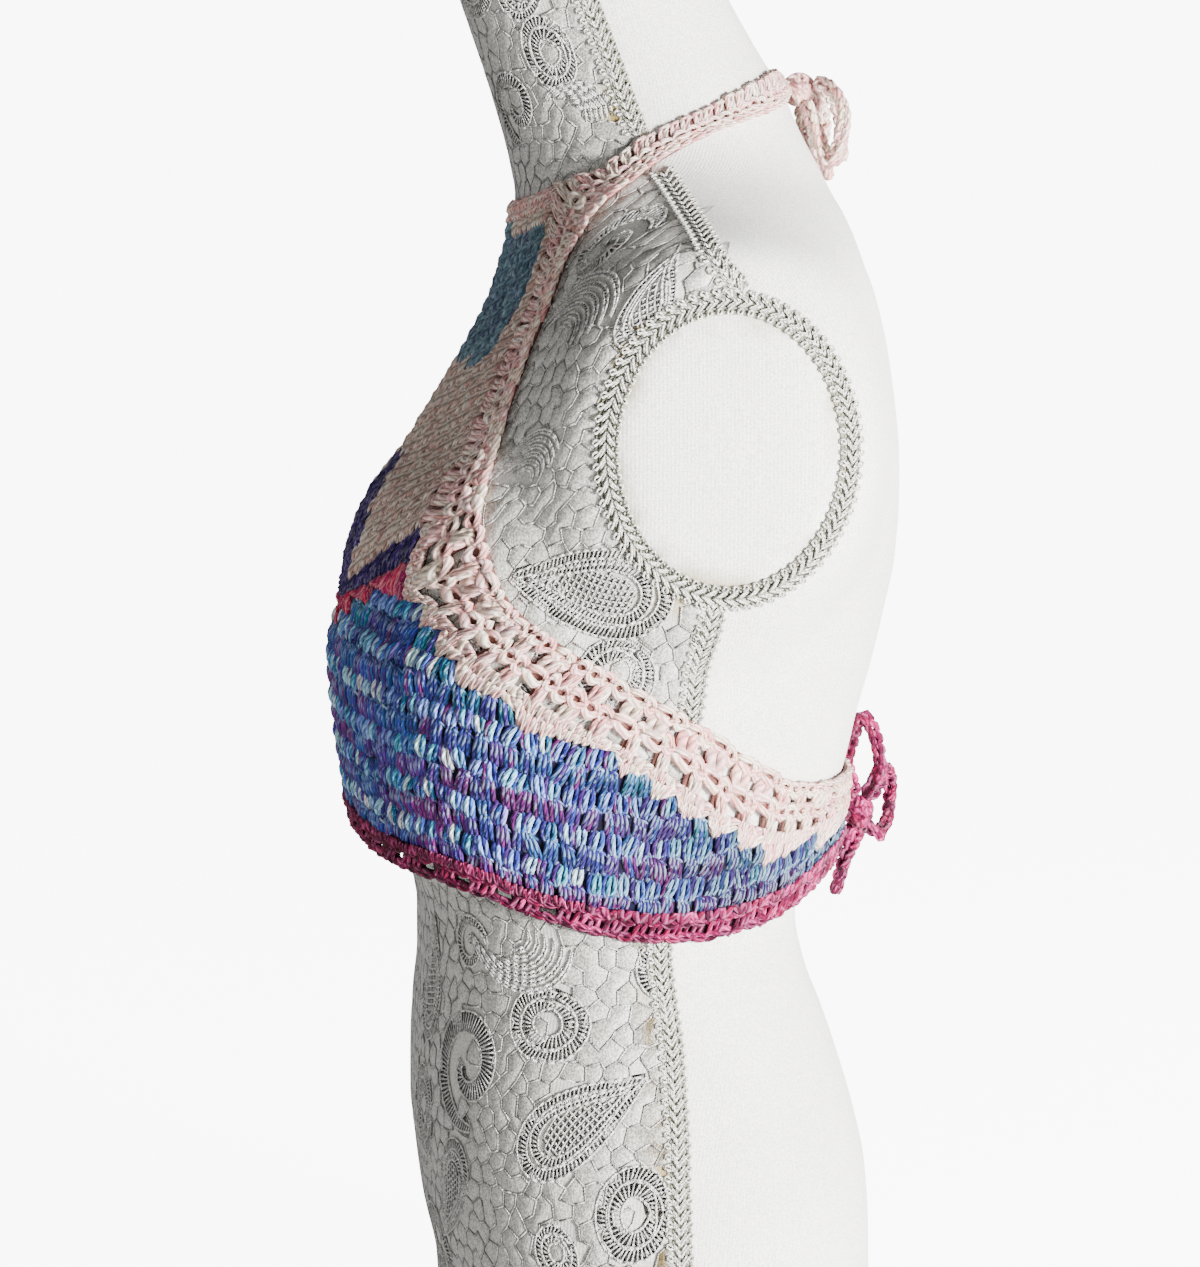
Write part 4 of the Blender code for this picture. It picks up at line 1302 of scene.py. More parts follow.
MOTIFS = tuple(Motif(MotifForm(form), *rest) for form, *rest in (
    ("leaf", 180, 366, 31, 68, -1), ("fan", 133, 400, 18, 60, 1),
    ("fan", 118, 452, 26, 40, 1), ("scroll", 112, 492, 15, 30, 1),
    ("leaf", 158, 470, 17, 30, 1), ("ring", 196, 330, 15, 60, 1),
    ("scroll", 150, 332, 16, 200, -1), ("ring", 128, 190, 17, 80, 1),
    ("fan", 110, 226, 22, 150, -1), ("leaf", 146, 156, 27, -38, 1),
    ("ring", 176, 121, 17, 8, 1), ("scroll", 88, 168, 25, 100, -1),
    ("scroll", 84, 216, 12, 10, 1), ("leaf", 76, 112, 24, 160, 1),
    ("ring", 146, 104, 11, 40, 1), ("scroll", 118, 72, 22, 220, 1),
    ("leaf", 166, 58, 24, 20, -1), ("ring", 92, 30, 18, 70, 1),
    ("scroll", 148, 14, 16, 0, -1), ("leaf", 40, 196, 24, 10, 1),
    ("ring", 38, 140, 18, 0, 1), ("scroll", 40, 76, 26, 60, -1),
    ("leaf", 30, 24, 20, 100, 1), ("scroll", 176, 212, 13, 120, 1),
    ("ring", 52, 572, 14, 0, 1), ("leaf", 50, 603, 18, -30, 1),
    ("scroll", 24, 552, 16, 90, -1), ("fan", 56, 546, 13, 20, 1),
    ("scroll", 20, 606, 17, 200, 1), ("ring", 60, 626, 10, 0, 1),
))


@dataclass
class ThreadWork:
    """Short lengths of thread, laid on the form's cover."""

    silk: np.ndarray
    # The ground colour is painted shade, for flat tapes under ribs and for cords
    # painted as shaded.
    shaded_ground: np.ndarray
    lift: float
    rows: list[np.ndarray] = field(default_factory=list)

    def add(self, starts: np.ndarray, stops: np.ndarray, half: float,
            depth: float | None = None, tone: float = 0.0) -> None:
        """Adds threads.

        Args:
            starts: Where they start, as rows of (s, z).
            stops: Where they end.
            half: Half their width.
            depth: Half their depth, if they are flat.
            tone: From 0, bright silk, to 1, the darker ground colour, which is
                painted shade.
        """
        if len(starts):
            shape = np.tile((half, depth or half, tone), (len(starts), 1))
            self.rows.append(np.concatenate([starts, stops, shape], axis=1))

    def line(self, points: np.ndarray, half: float,
             depth: float | None = None, tone: float = 0.0) -> None:
        """Adds threads, or a tape, along a line of (s, z) points."""
        self.add(points[:-1], points[1:], half, depth, tone)

    def band(self, line: np.ndarray, half: float, spacing: float,
             radius: float) -> None:
        """Adds a ribbed band: two borders, with ribs across between them.

        Args:
            line: Its middle line.
            half: Its half width, which shrinks towards both ends.
            spacing: Distance between ribs.
            radius: Radius of its threads.
        """
        steps = np.linalg.norm(np.diff(line, axis=0), axis=1)
        run = np.concatenate([[0], np.cumsum(steps)])
        at = np.linspace(0, run[-1], max(4, round(run[-1] / spacing)) + 1)
        middle = np.stack([np.interp(at, run, line[:, k]) for k in (0, 1)], 1)
        way = np.gradient(middle, axis=0)
        way /= np.linalg.norm(way, axis=1, keepdims=True)
        across = np.stack([-way[:, 1], way[:, 0]], axis=1)
        wide = half * np.clip(
            0.35 + 4 * np.minimum(at, at[-1] - at) / at[-1], 0, 1)[:, None]
        for side in (-1, 1):
            self.line(middle[::2] + side * (wide * across)[::2], 1.2 * radius)
        # A flat tape in the ground colour under the ribs: painted shade between
        # them.
        self.line(middle[::3], half, 0.10, 1.0)
        lean = 0.4 * spacing * way
        self.add(middle - wide * across - lean, middle + wide * across + lean,
                 0.8 * radius)

    def make(self, rows: np.ndarray, rng: np.random.Generator
             ) -> tuple[bpy.types.Mesh, np.ndarray]:
        """Makes threads and works out where they lie.

        Args:
            rows: The threads to make.
            rng: Draws the small differences in their brightness.

        Returns:
            The mesh, painted, and its vertices' places.
        """
        unit = stitch("thread", (Strand(((0, 0, 0), (1, 0, 0)), 1.0),),
                      sides=3)
        local = coordinates(unit)
        along = rows[:, 2:4] - rows[:, :2]
        length = np.linalg.norm(along, axis=1, keepdims=True)
        along = along / np.maximum(length, 1e-6)
        across = np.stack([-along[:, 1], along[:, 0]], axis=1)
        x = local[:, 0] * (length + 0.3) - 0.15
        side = -1.15 * local[:, 2] * rows[:, 4:5]
        s = rows[:, :1] + x * along[:, :1] + side * across[:, :1]
        z = rows[:, 1:2] + x * along[:, 1:] + side * across[:, 1:]
        z = np.clip(z, 0.5, FORM_TOP - 0.5)
        flat, shade_tone = rows[:, 6:] > 0.5, rows[:, 6:]
        height = (np.where(flat, 0.16, self.lift)
                  + local[:, 1] * rows[:, 5:6])
        mesh = repeated(unit, len(rows))
        ply = np.empty(3 * len(mesh.vertices), dtype=np.float32)
        mesh.attributes["ply"].data.foreach_get("vector", ply)
        ply = ply.reshape(len(rows), -1, 3)
        ply[:, :, 2] = x + np.cumsum(length)[:, None] - length
        mesh.attributes["ply"].data.foreach_set("vector", ply.ravel())
        # Threads with a tone take the ground colour in full, as painted shade;
        # the rest are dimmed at random.
        faded = np.where(shade_tone > 0, 1.0, rng.choice(
            (0, 0.1, 0.5), (len(rows), 1)))
        colours = (1 - faded) * self.silk + faded * self.shaded_ground
        paint(mesh, np.repeat(colours, len(local), axis=0))
        return mesh, SKIN.carry(z, s / SKIN.half_girth(z), height).reshape(
            -1, 3)


@dataclass
class LaceFront:
    """The lace over the form's front half, from seam to seam."""

    finishes: Finishes
    cell: float = 5.0
    thread: float = 0.34
    # The groove width is the width of each panel's rim, painted dark as shade.
    groove_shade: float = 0.9
    lift: float = 0.55
    jitter: float = 0.30
    merged: float = 0.16
    chest: float = 385.0
    stretched: float = 0.75
    rib: float = 1.7
    grid: float = 2.4
    seed: int = 11
    # dark is painted shade: each panel's rim, under the cords, takes this
    # colour.
    dark: tuple[float, float, float] = (0.36, 0.35, 0.32)
    shaded_ground: tuple[float, float, float] = (0.70, 0.69, 0.66)
    panel: tuple[float, float, float] = (0.90, 0.89, 0.85)
    aged: tuple[float, float, float] = (0.45, 0.35, 0.02)
    silk: tuple[float, float, float] = (0.97, 0.96, 0.93)

    def shown(self, spots: np.ndarray, margin: float) -> np.ndarray:
        """Tells where lace lies and can be seen.

        Args:
            spots: Rows of (s, z).
            margin: How far the lace stays inside its seams.

        Returns:
            True at each spot that has lace.
        """
        s, z = spots[:, 0], spots[:, 1]
        girth = SKIN.half_girth(z)
        turn = np.abs(s) / girth
        inside = (turn + margin / girth < LACE_EDGE(z))
        inside &= (z > 0) & (z < FORM_TOP)
        band = (z > hem_height(turn) + 5) & (z < band_line(turn) - 6)
        row = np.interp(z, [r[2] for r in STRAP[:8]], range(8))
        bib = ((z > 340) & (z < neck_low_height(turn) - 3)
               & (turn < strap_lines[3](row) - 0.01))
        return inside & ~band & ~bib

    def motifs(self) -> list[tuple[Motif, list[tuple[np.ndarray, float]]]]:
        """Returns both sides' motifs with their bands."""
        found = []
        for motif in MOTIFS:
            bands = motif.lines()
            for _, side in SIDES:
                found.append((motif, [(line * (side, 1), half)
                                      for line, half in bands]))
        return found

    @staticmethod
    def inside(spots: np.ndarray, line: np.ndarray) -> np.ndarray:
        """Tells which spots lie inside a closed line."""
        crossings = np.zeros(len(spots), dtype=int)
        for a, b in zip(line, np.roll(line, -1, axis=0)):
            spans = (a[1] > spots[:, 1]) != (b[1] > spots[:, 1])
            if spans.any():
                x = a[0] + (spots[:, 1] - a[1]) * (b[0] - a[0]) / (b[1] - a[1])
                crossings += spans & (spots[:, 0] < x)
        return crossings % 2 == 1

    def lattice(self) -> bpy.types.Mesh:
        """Builds the flat, uneven mesh of cells between the motifs."""
        width, pitch = self.cell * math.sqrt(3), 3 * self.cell
        unit = bmesh.new()
        for _ in range(2):
            bmesh.ops.create_circle(unit, cap_ends=True, segments=6,
                                    radius=self.cell)
        unit.verts.ensure_lookup_table()
        bmesh.ops.translate(unit, vec=(width / 2, 0.5 * pitch, 0),
                            verts=unit.verts[6:])
        template = bpy.data.meshes.new("net")
        unit.to_mesh(template)
        unit.free()
        half = max(SKIN.half_girths) * 0.56
        columns = math.ceil(2 * half / width) + 1
        rows = math.ceil(FORM_TOP / pitch) + 1
        mesh = repeated(template, columns * rows)
        local = coordinates(mesh).reshape(columns * rows, -1, 3)
        index = np.arange(columns * rows)
        local[:, :, 0] += (index % columns * width - half)[:, None]
        local[:, :, 1] += (index // columns * pitch)[:, None]
        mesh.vertices.foreach_set("co", local.astype(np.float32).ravel())
        return mesh

    def net(self, threads: ThreadWork) -> tuple[bpy.types.Mesh, np.ndarray]:
        """Builds the panels of the net, each with a rim painted dark as shade,
        and its cords as threads.

        Args:
            threads: The threads so far, which the net's cords join.

        Returns:
            The panels' mesh and its vertices' places.
        """
        mesh = self.lattice()
        net = bmesh.new()
        net.from_mesh(mesh)
        bmesh.ops.remove_doubles(net, verts=net.verts, dist=0.05)
        centres = np.array([f.calc_center_median()[:2] for f in net.faces])
        keep = self.shown(centres, 1.0)
        for motif, bands in self.motifs():
            for line, half in bands:
                near = np.linalg.norm(centres[:, None] - line[None, ::2],
                                      axis=2).min(axis=1)
                keep &= near > half + 1.2
            if motif.form is MotifForm.LEAF:
                keep &= ~self.inside(centres, bands[0][0])
        bmesh.ops.delete(net, context="FACES", geom=[
            f for f, kept in zip(net.faces[:], keep) if not kept])
        rng = np.random.default_rng(self.seed)
        for vertex in net.verts:
            dx, dy = rng.uniform(-1, 1, 2) * self.jitter * self.cell
            vertex.co += Vector((dx, dy, 0))
        drop, paired = [], set()
        for edge in net.edges:
            sides = {face.index for face in edge.link_faces}
            if len(sides) < 2 or sides & paired:
                continue
            (x0, z0, _), (x1, z1, _) = (v.co for v in edge.verts)
            slope = (x1 - x0) * (z1 - z0) * (1 if x0 > 0 else -1)
            steep = z0 > self.chest and slope < -0.2 * self.cell ** 2
            if rng.random() < (self.stretched if steep else self.merged):
                drop.append(edge)
                paired |= sides
        bmesh.ops.dissolve_edges(net, edges=drop, use_verts=False)
        starts, stops = (np.array([e.verts[k].co[:2] for e in net.edges])
                         for k in (0, 1))
        # Painted light and shade: half the cords at random stay bright silk, the
        # other half take the darker ground colour.
        lit = rng.random(len(starts)) < 0.5
        threads.add(starts[lit], stops[lit], self.thread)
        threads.add(starts[~lit], stops[~lit], self.thread, tone=0.4)
        bmesh.ops.translate(net, vec=(0, 0, 0.06), verts=net.verts)
        rim_shade_layer = net.verts.layers.float.new("edge")
        for vertex in net.verts:
            vertex[rim_shade_layer] = 1.0
        rims = set(bmesh.ops.inset_individual(
            net, faces=net.faces[:], thickness=self.groove_shade,
            depth=self.lift, use_even_offset=True)["faces"])
        for face in net.faces:
            if face not in rims:
                for vertex in face.verts:
                    vertex[rim_shade_layer] = 0.0
        net.to_mesh(mesh)
        share = np.array([v[rim_shade_layer] for v in net.verts])[:, None]
        net.free()
        dark, panel, aged = linear(self.dark, self.panel, self.aged)
        s, z, lift = coordinates(mesh).T
        girth = SKIN.half_girth(z)
        gap = LACE_EDGE(z) * girth - np.abs(s)
        patchy = np.clip(0.8 + 0.7 * np.sin(z / 7.3) + 0.5 * np.sin(z / 2.9),
                         0, 1)
        stain = (np.exp(-((gap - 7.4) / 4.0) ** 2) * patchy * (z < 235)
                 )[:, None]
        # Painted shade: dark on each panel's inset rim round the cords, the
        # panel colour inside.
        colours = share * dark + (1 - share) * panel
        paint(mesh, (1 - stain) * colours + stain * aged)
        return mesh, SKIN.carry(z, s / SKIN.half_girth(z), lift)

    def work(self, threads: ThreadWork) -> None:
        """Adds the motifs' bands and fillings to the threads."""
        for motif, bands in self.motifs():
            for line, half in bands:
                if motif.form is MotifForm.FAN:
                    threads.band(line, half, 1.25 * self.rib, 0.40)
                else:
                    threads.band(line, half, self.rib, 0.40)
            if motif.form is MotifForm.LEAF:
                self._fill(threads, bands[0][0], motif.angle)

    def _fill(self, threads: ThreadWork, outline: np.ndarray,
              angle: float) -> None:
        """Fills a closed outline with a grid of threads."""
        centre = outline.mean(axis=0)
        inner = centre + 0.64 * (outline - centre)
        reach = np.abs(outline - centre).max() * 1.2
        count = int(2 * reach / self.grid)
        across = (np.arange(count) - count / 2) * self.grid
        cosine, sine = (f(math.radians(angle)) for f in (math.cos, math.sin))
        turn = np.array(((cosine, sine), (-sine, cosine)))
        for first, second in ((0, 1), (1, 0)):
            spots = np.zeros((count, count, 2))
            spots[..., first] = across[:, None]
            spots[..., second] = across[None]
            spots[..., 0] += 0.12 / self.grid * spots[..., 1] ** 2 / 4
            flat = spots.reshape(-1, 2) @ turn + centre
            kept = self.inside(flat, inner).reshape(count, count)
            flat = flat.reshape(count, count, 2)
            both = kept[:, 1:] & kept[:, :-1]
            threads.add(flat[:, :-1][both], flat[:, 1:][both], 0.36)
            # Flat tapes in the ground colour under one way of the grid: painted
            # shade between its threads.
            if first:
                threads.add(flat[:, :-1][both], flat[:, 1:][both],
                            0.5 * self.grid, 0.10, 1.0)

    def build(self) -> None:
        """Builds the panels, and the threads in two halves."""
        silk, shaded_ground = linear(self.silk, self.shaded_ground)
        threads = ThreadWork(silk, shaded_ground, self.lift)
        mesh, points = self.net(threads)
        pieces = [new_piece("lace_net", mesh, points, self.finishes.lace)]
        self.work(threads)
        rows = np.concatenate(threads.rows)
        middle = 0.5 * (rows[:, :2] + rows[:, 2:4])
        seen = self.shown(middle, 1.2)
        rng = np.random.default_rng(self.seed)
        for name, side in SIDES:
            mesh, points = threads.make(
                rows[seen & (middle[:, 0] * side > 0)], rng)
            pieces.append(new_piece("lace_threads_" + name, mesh, points,
                                    self.finishes.lace))
        for piece in pieces:
            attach(piece, "root")
            LOG.info("%s: %d faces", piece.name, len(piece.data.polygons))


@dataclass
class BraidTrim:
    """The looped braid over the form's seams."""

    finishes: Finishes
    pitch: float = 4.3
    half: float = 5.7
    thread: float = 0.52
    ring_growth: float = 1.6
    silk: tuple[float, float, float] = (0.94, 0.93, 0.88)
    shaded_recess: tuple[float, float, float] = (0.58, 0.57, 0.50)
    ring_lean: float = 0.45

    def unit(self) -> bpy.types.Mesh:
        """Returns one repeat: a chevron, with a small loop on each side."""
        p, r = self.pitch, self.thread
        strands = []
        for side in (1, -1):
            edge = side * (self.half - r)
            strands.append(bowed((
                (-0.6, 0, 1.3), (1.2, 0.22 * edge, 1.6), (3.2, 0.52 * edge, 1.2),
                (4.6, 0.80 * edge, 1.2), (4.3, edge, 1.0), (3.1, edge, 1.0),
                (2.6, 0.78 * edge, 1.1), (2.7, 0.50 * edge, 0.9)), r, 0, 9))
            strands.append(bowed(((0.9, 0, 1.0), (2.4, 0.20 * edge, 1.3),
                                  (4.4, 0.46 * edge, 0.9)), 0.8 * r, 0, 4))
        # Flat strands in the recess colour under the loops: painted shade down
        # the braid's middle.
        for beside in (-3.9, -2.4, -0.8, 0.8, 2.4, 3.9):
            strands.append(Strand(((-0.2, beside, -0.3),
                                   (p + 0.2, beside, -0.3)), 0.95, 1))
        return stitch("braid", tuple(strands), sides=4)

    def seam_trails(self, side: int) -> list[Trail]:
        """Returns the lines of one side's braids."""
        trails = []
        for seam in (NECK_SEAM, SIDE_SEAM):
            table = SmoothTable(seam)
            low, high = seam[0][0], seam[-1][0]
            cuts = [low]
            for start, end in SEAM_HIDDEN:
                if low < start < high:
                    cuts += [start, end]
            cuts.append(high)
            for start, end in zip(cuts[::2], cuts[1::2]):
                height = np.linspace(start + 0.5, end - 0.5,
                                     max(8, int(end - start)))
                trails.append(self._trail(height, side * table(height)))
        angle = np.linspace(0, 2 * math.pi, 181)
        y = ARM_CENTRE_Y + (PLATE_HALF_DEPTH + self.ring_growth) * np.cos(angle)
        z = (ARM_CENTRE_Z
             + (PLATE_HALF_HEIGHT + self.ring_growth) * np.sin(angle))
        x = np.full_like(y, side * (PAD_REACH + 2.3))
        lean = np.stack([np.full_like(y, side * 1.0),
                         self.ring_lean * np.cos(angle),
                         self.ring_lean * np.sin(angle)], axis=1)
        trails.append(Trail(np.stack([x, y, z], axis=1), lean))
        return trails

    @staticmethod
    def _trail(height: np.ndarray, turn: np.ndarray) -> Trail:
        """Returns a line on the form's skin with the skin's normals."""
        points = SKIN.carry(height, turn, 0.0)
        return Trail(points, SKIN.carry(height, turn, 1.0) - points)

    def build(self) -> None:
        """Builds each side's braid as one piece."""
        unit = self.unit()
        local = coordinates(unit)
        tone = np.empty(len(local), dtype=np.float32)
        unit.attributes["tone"].data.foreach_get("value", tone)
        for name, side in SIDES:
            places = []
            for trail in self.seam_trails(side):
                count = round(trail.run[-1] / self.pitch)
                stretch = trail.run[-1] / (count * self.pitch)
                starts = np.arange(count)[:, None] * self.pitch
                along = (starts + local[:, 0]) * stretch
                beside = np.broadcast_to(local[:, 1], along.shape)
                lift = np.broadcast_to(local[:, 2], along.shape)
                places.append(trail.carry(along, beside, lift))
            places = np.concatenate(places)
            mesh = repeated(unit, len(places))
            # The recess colour is painted shade, on the flat strands under the
            # loops.
            bright, shaded_recess = linear(self.silk, self.shaded_recess)
            share = np.tile(tone, len(places))[:, None]
            paint(mesh, (1 - share) * bright + share * shaded_recess)
            piece = new_piece("braid_" + name, mesh, places.reshape(-1, 3),
                              self.finishes.braid)
            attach(piece, "root")
            LOG.info("braid %s: %d faces", name, len(mesh.polygons))


@dataclass
class ArmholePlates:
    """The padded knit caps that close the form's armholes."""

    finishes: Finishes
    crown: float = 1.2
    segments: int = 56

    def build(self) -> None:
        """Builds both caps as domed discs with a soft rim."""
        for name, side in SIDES:
            disc = bmesh.new()
            bmesh.ops.create_grid(disc, x_segments=self.segments,
                                  y_segments=self.segments, size=1)
            for vertex in disc.verts:
                x, y, _ = vertex.co
                vertex.co.x = x * math.sqrt(1 - y * y / 2)
                vertex.co.y = y * math.sqrt(1 - x * x / 2)
            mesh = bpy.data.meshes.new("plate")
            raised = bmesh.ops.extrude_face_region(
                disc, geom=disc.faces[:], use_keep_orig=True)
            top = [v for v in raised["geom"]
                   if isinstance(v, bmesh.types.BMVert)]
            bmesh.ops.translate(disc, vec=(0, 0, 1), verts=top)
            bmesh.ops.recalc_face_normals(disc, faces=disc.faces)
            disc.to_mesh(mesh)
            disc.free()
            local = coordinates(mesh)
            radius = np.hypot(local[:, 0], local[:, 1])
            dome = ((PLATE_THICKNESS - self.crown)
                    * np.sqrt(np.clip(1 - radius ** 7, 0, 1))
                    + self.crown * (1 - radius ** 2))
            x = PAD_REACH + SEAM_GAP + local[:, 2] * np.maximum(dome, 0.8)
            y = ARM_CENTRE_Y + local[:, 0] * PLATE_HALF_DEPTH
            z = ARM_CENTRE_Z + local[:, 1] * PLATE_HALF_HEIGHT
            place = mesh.attributes.new("place", "FLOAT_VECTOR", "POINT")
            rows = np.stack([y, z, np.zeros_like(y)], axis=1)
            place.data.foreach_set("vector", rows.astype(np.float32).ravel())
            age = mesh.attributes.new("age", "FLOAT", "POINT")
            age.data.foreach_set("value", np.clip(
                (radius - 0.78) * 4, 0, 0.7).astype(np.float32))
            points = np.stack([side * x, y, z], axis=1)
            piece = new_piece("armhole_cap_" + name, mesh, points,
                              self.finishes.cover, flip=side > 0)
            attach(piece, "root")
            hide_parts("armhole_plate_" + name)


# ----------------------------------------------------------------- the garment
def row_count(cell: int) -> int:
    """Returns the band's rows in one of its cells from centre front."""
    turn = (cell + 0.5) * 2 * CELL_TURN
    foot = hem_height(turn) + HEM_WIDTH + SEAM_GAP
    return max(1, round((band_line(turn) - foot) / ROW_PITCH))


def row_height(turn: np.ndarray | float, row: float) -> np.ndarray | float:
    """Returns the height of a row line of the band."""
    return hem_height(turn) + HEM_WIDTH + SEAM_GAP + row * ROW_PITCH


def step_places(column: int, before: int, after: int
                ) -> list[tuple[float, float]]:
    """Returns the foot of the next piece where the band's rows step."""
    turn = column * 2 * CELL_TURN
    high, low = max(before, after), min(before, after)
    if high == low:
        return [(row_height(turn, high) + SEAM_GAP, turn)]
    side = 1 if before > after else -1
    corner, foot = turn + side * SEAM_TURN, turn + side * STEP_RAMP
    pair = [(row_height(corner, high) + SEAM_GAP, corner),
            (row_height(foot, low) + SEAM_GAP, foot)]
    return pair if side > 0 else pair[::-1]


def mirrored(half: list[list[tuple[float, float]]]) -> np.ndarray:
    """Completes columns from centre front outwards to both sides."""
    other = [[(height, -turn) for height, turn in column]
             for column in half[:0:-1]]
    return np.array(other + half, dtype=float)


@dataclass
class Garment:
    """What the garment's pieces share: finishes, attaching them and hiding the
    solids they stand for.
    """

    finishes: Finishes
    rng: np.random.Generator = field(
        default_factory=lambda: np.random.default_rng(5))

    def declare(self, shell: bpy.types.Object,
                stitches: list[bpy.types.Object], slot: str, node: str,
                flat: tuple[float, float], area: float) -> None:
        """Attaches a cloth and its stitches to the root and hides the solid that
        it stands for.

        Args:
            shell: The cloth.
            stitches: The stitches on it.
            slot: Not used.
            node: The solid that the cloth stands for.
            flat: Not used.
            area: Not used.
        """
        for piece in (shell, *stitches):
            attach(piece, "root")
            LOG.info("%s: %d faces", piece.name, len(piece.data.polygons))
        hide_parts(node)

    def sew(self, name: str, patch: Patch, runs: list[StitchRun],
            material: bpy.types.Material) -> bpy.types.Object:
        """Makes one piece of all the stitches of a cloth."""
        parts = [run.make(patch, self.rng) for run in runs if run.cells]
        mesh, points = joined(parts)
        return new_piece(name, mesh, points, material, flip=patch.side < 0)


@dataclass
class BodyBand(Garment):
    """The band round the body, in rows of half treble stitches."""

    yarn: float = 1.08
    stagger: float = 0.2

    def drift(self, rows: int, groups: int) -> np.ndarray:
        """Returns how the yarn's colour wanders along each row, from 0 to 1."""
        wander = np.zeros((rows, groups))
        value = 0.0
        for row in range(rows):
            for group in range(groups):
                value = 0.72 * value + self.rng.normal(0, 0.34)
                wander[row, group] = value
        return np.clip(0.5 + wander, 0, 0.999)

    def tones(self, row: int, drift: float, is_top: bool
              ) -> tuple[np.ndarray, ...]:
        """Returns a stitch's colours.

        Args:
            row: Its row.
            drift: Where the changing yarn has got to, from 0 to 1.
            is_top: Whether it lies on the band's edge.

        Returns:
            Three linear colours.
        """
        if row % 2 and self.rng.random() < 0.16:
            row += 1
        if row % 2:
            main = Tones.LIGHT[int(drift * len(Tones.LIGHT))]
            beside = Tones.MIDDLE[int(drift * len(Tones.MIDDLE))]
            if self.rng.random() < 0.3:
                beside = main
            return main, pick(self.rng, Tones.DARK), beside
        if is_top and drift > 0.45:
            return (pick(self.rng, Tones.TEAL), pick(self.rng, Tones.MIDDLE),
                    pick(self.rng, Tones.LIGHT))
        main = Tones.DARK[int(drift * len(Tones.DARK))]
        other = Tones.LILAC if self.rng.random() < 0.3 else Tones.MIDDLE
        return main, pick(self.rng, Tones.DARK), pick(self.rng, other)

    def build(self) -> None:
        """Builds the band's cloth and its stitches."""
        counts = [row_count(cell) for cell in range(BAND_CELLS)]
        rows = max(counts)
        columns = np.array([
            [(row_height(abs(i) * 2 * CELL_TURN, row), i * 2 * CELL_TURN)
             for row in range(rows + 1)]
            for i in range(-BAND_CELLS, BAND_CELLS + 1)])
        patch = Patch(columns)
        width, height = CELL_TURN * HALF_GIRTH, ROW_PITCH
        light = StitchForm.DROP.run(width, height, self.yarn)
        dark = StitchForm.FAN.run(width, height, self.yarn)
        light.wander = dark.wander = 0.10
        holes = set()
        drift = self.drift(rows, 4 * BAND_CELLS)
        for i in range(2 * BAND_CELLS):
            cell = i - BAND_CELLS if i >= BAND_CELLS else BAND_CELLS - 1 - i
            for row in range(rows):
                if row >= counts[cell]:
                    holes.add((i, row))
                    continue
                for half in (0, 1):
                    run = light if row % 2 else dark
                    at = i + half / 2 + self.stagger * (row % 4 > 1)
                    # Painted light and shade: colours are scaled up to 1.8 times
                    # on the shaded front and down to 0.27 times on the lit back.
                    depth = np.interp(abs(at - BAND_CELLS), (8, 19, 27),
                                      (1.8, 0.38, 0.27))
                    run.add((at, at + 0.5, row, row + 1),
                            *(depth * tone for tone in self.tones(
                                row, drift[row, 2 * i + half],
                                row == counts[cell] - 1)))
        shell = cloth_shell("band_cloth", patch, self.finishes.blue,
                            Tones.SHADED_GROUND_BLUE, frozenset(holes))
        stitches = self.sew("band_stitches", patch, [light, dark],
                            self.finishes.blue)
        self.declare(shell, [stitches], "blue_yarn", "body_band",
                     (0.78, 0.10), 0.05)


@dataclass
class Stripes(Garment):
    """The coral and the violet stripe between the band and the bib."""

    yarn: float = 1.0

    def build(self) -> None:
        """Builds both stripes."""
        feet = [(row_height(0, row_count(0)) + SEAM_GAP, 0.0)]
        for column in range(1, BIB_CELLS):
            feet += step_places(column, row_count(column - 1),
                                row_count(column))
        last_row = row_count(BIB_CELLS - 1)
        feet.append((row_height(STRIPE_END, last_row) + SEAM_GAP, STRIPE_END))
        coral = Patch(mirrored([[(foot, turn), (coral_height(turn), turn)]
                                for foot, turn in feet]))
        turns = [STRIPE_END * i / BIB_CELLS for i in range(BIB_CELLS + 1)]
        violet = Patch(mirrored([[(coral_height(t) + SEAM_GAP, t),
                                  (violet_height(t), t)] for t in turns]))
        self._stripe("coral", coral, StitchForm.DROP, 4.6, Tones.CORAL,
                     Tones.SHADED_GROUND_CORAL, self.finishes.coral, (0.178, 0.02),
                     0.0019)
        self._stripe("violet", violet, StitchForm.SLANT, 4.4, Tones.VIOLET,
                     Tones.SHADED_GROUND_VIOLET, self.finishes.violet,
                     (0.176, 0.014), 0.0016)

    def _stripe(self, name: str, patch: Patch, form: StitchForm,
                pitch: float, tones: np.ndarray, shaded_ground: np.ndarray,
                material: bpy.types.Material, flat: tuple[float, float],
                area: float) -> None:
        """Builds one stripe from its patch and stitch."""
        run = form.run(pitch, 12.0, self.yarn)
        sides = patch.split(0.5, pitch)
        for first, last in zip(sides, sides[1:]):
            run.add((first, last, 0.02, 0.98), pick(self.rng, tones),
                    pick(self.rng, tones))
        # The stripe's cloth takes the dark ground colour: painted shade between
        # the stitches.
        shell = cloth_shell(name + "_cloth", patch, material, shaded_ground,
                            frozenset(), split=(2, 3))
        stitches = self.sew(name + "_stitches", patch, [run], material)
        self.declare(shell, [stitches], name + "_yarn", name + "_stripe", flat,
                     area)


def strap_place(row: float, edge: str) -> tuple[float, float]:
    """Returns (height, turn) on the strap's outer or inner edge."""
    first = 0 if edge == "outer" else 2
    return float(strap_lines[first](row)), float(strap_lines[first + 1](row))


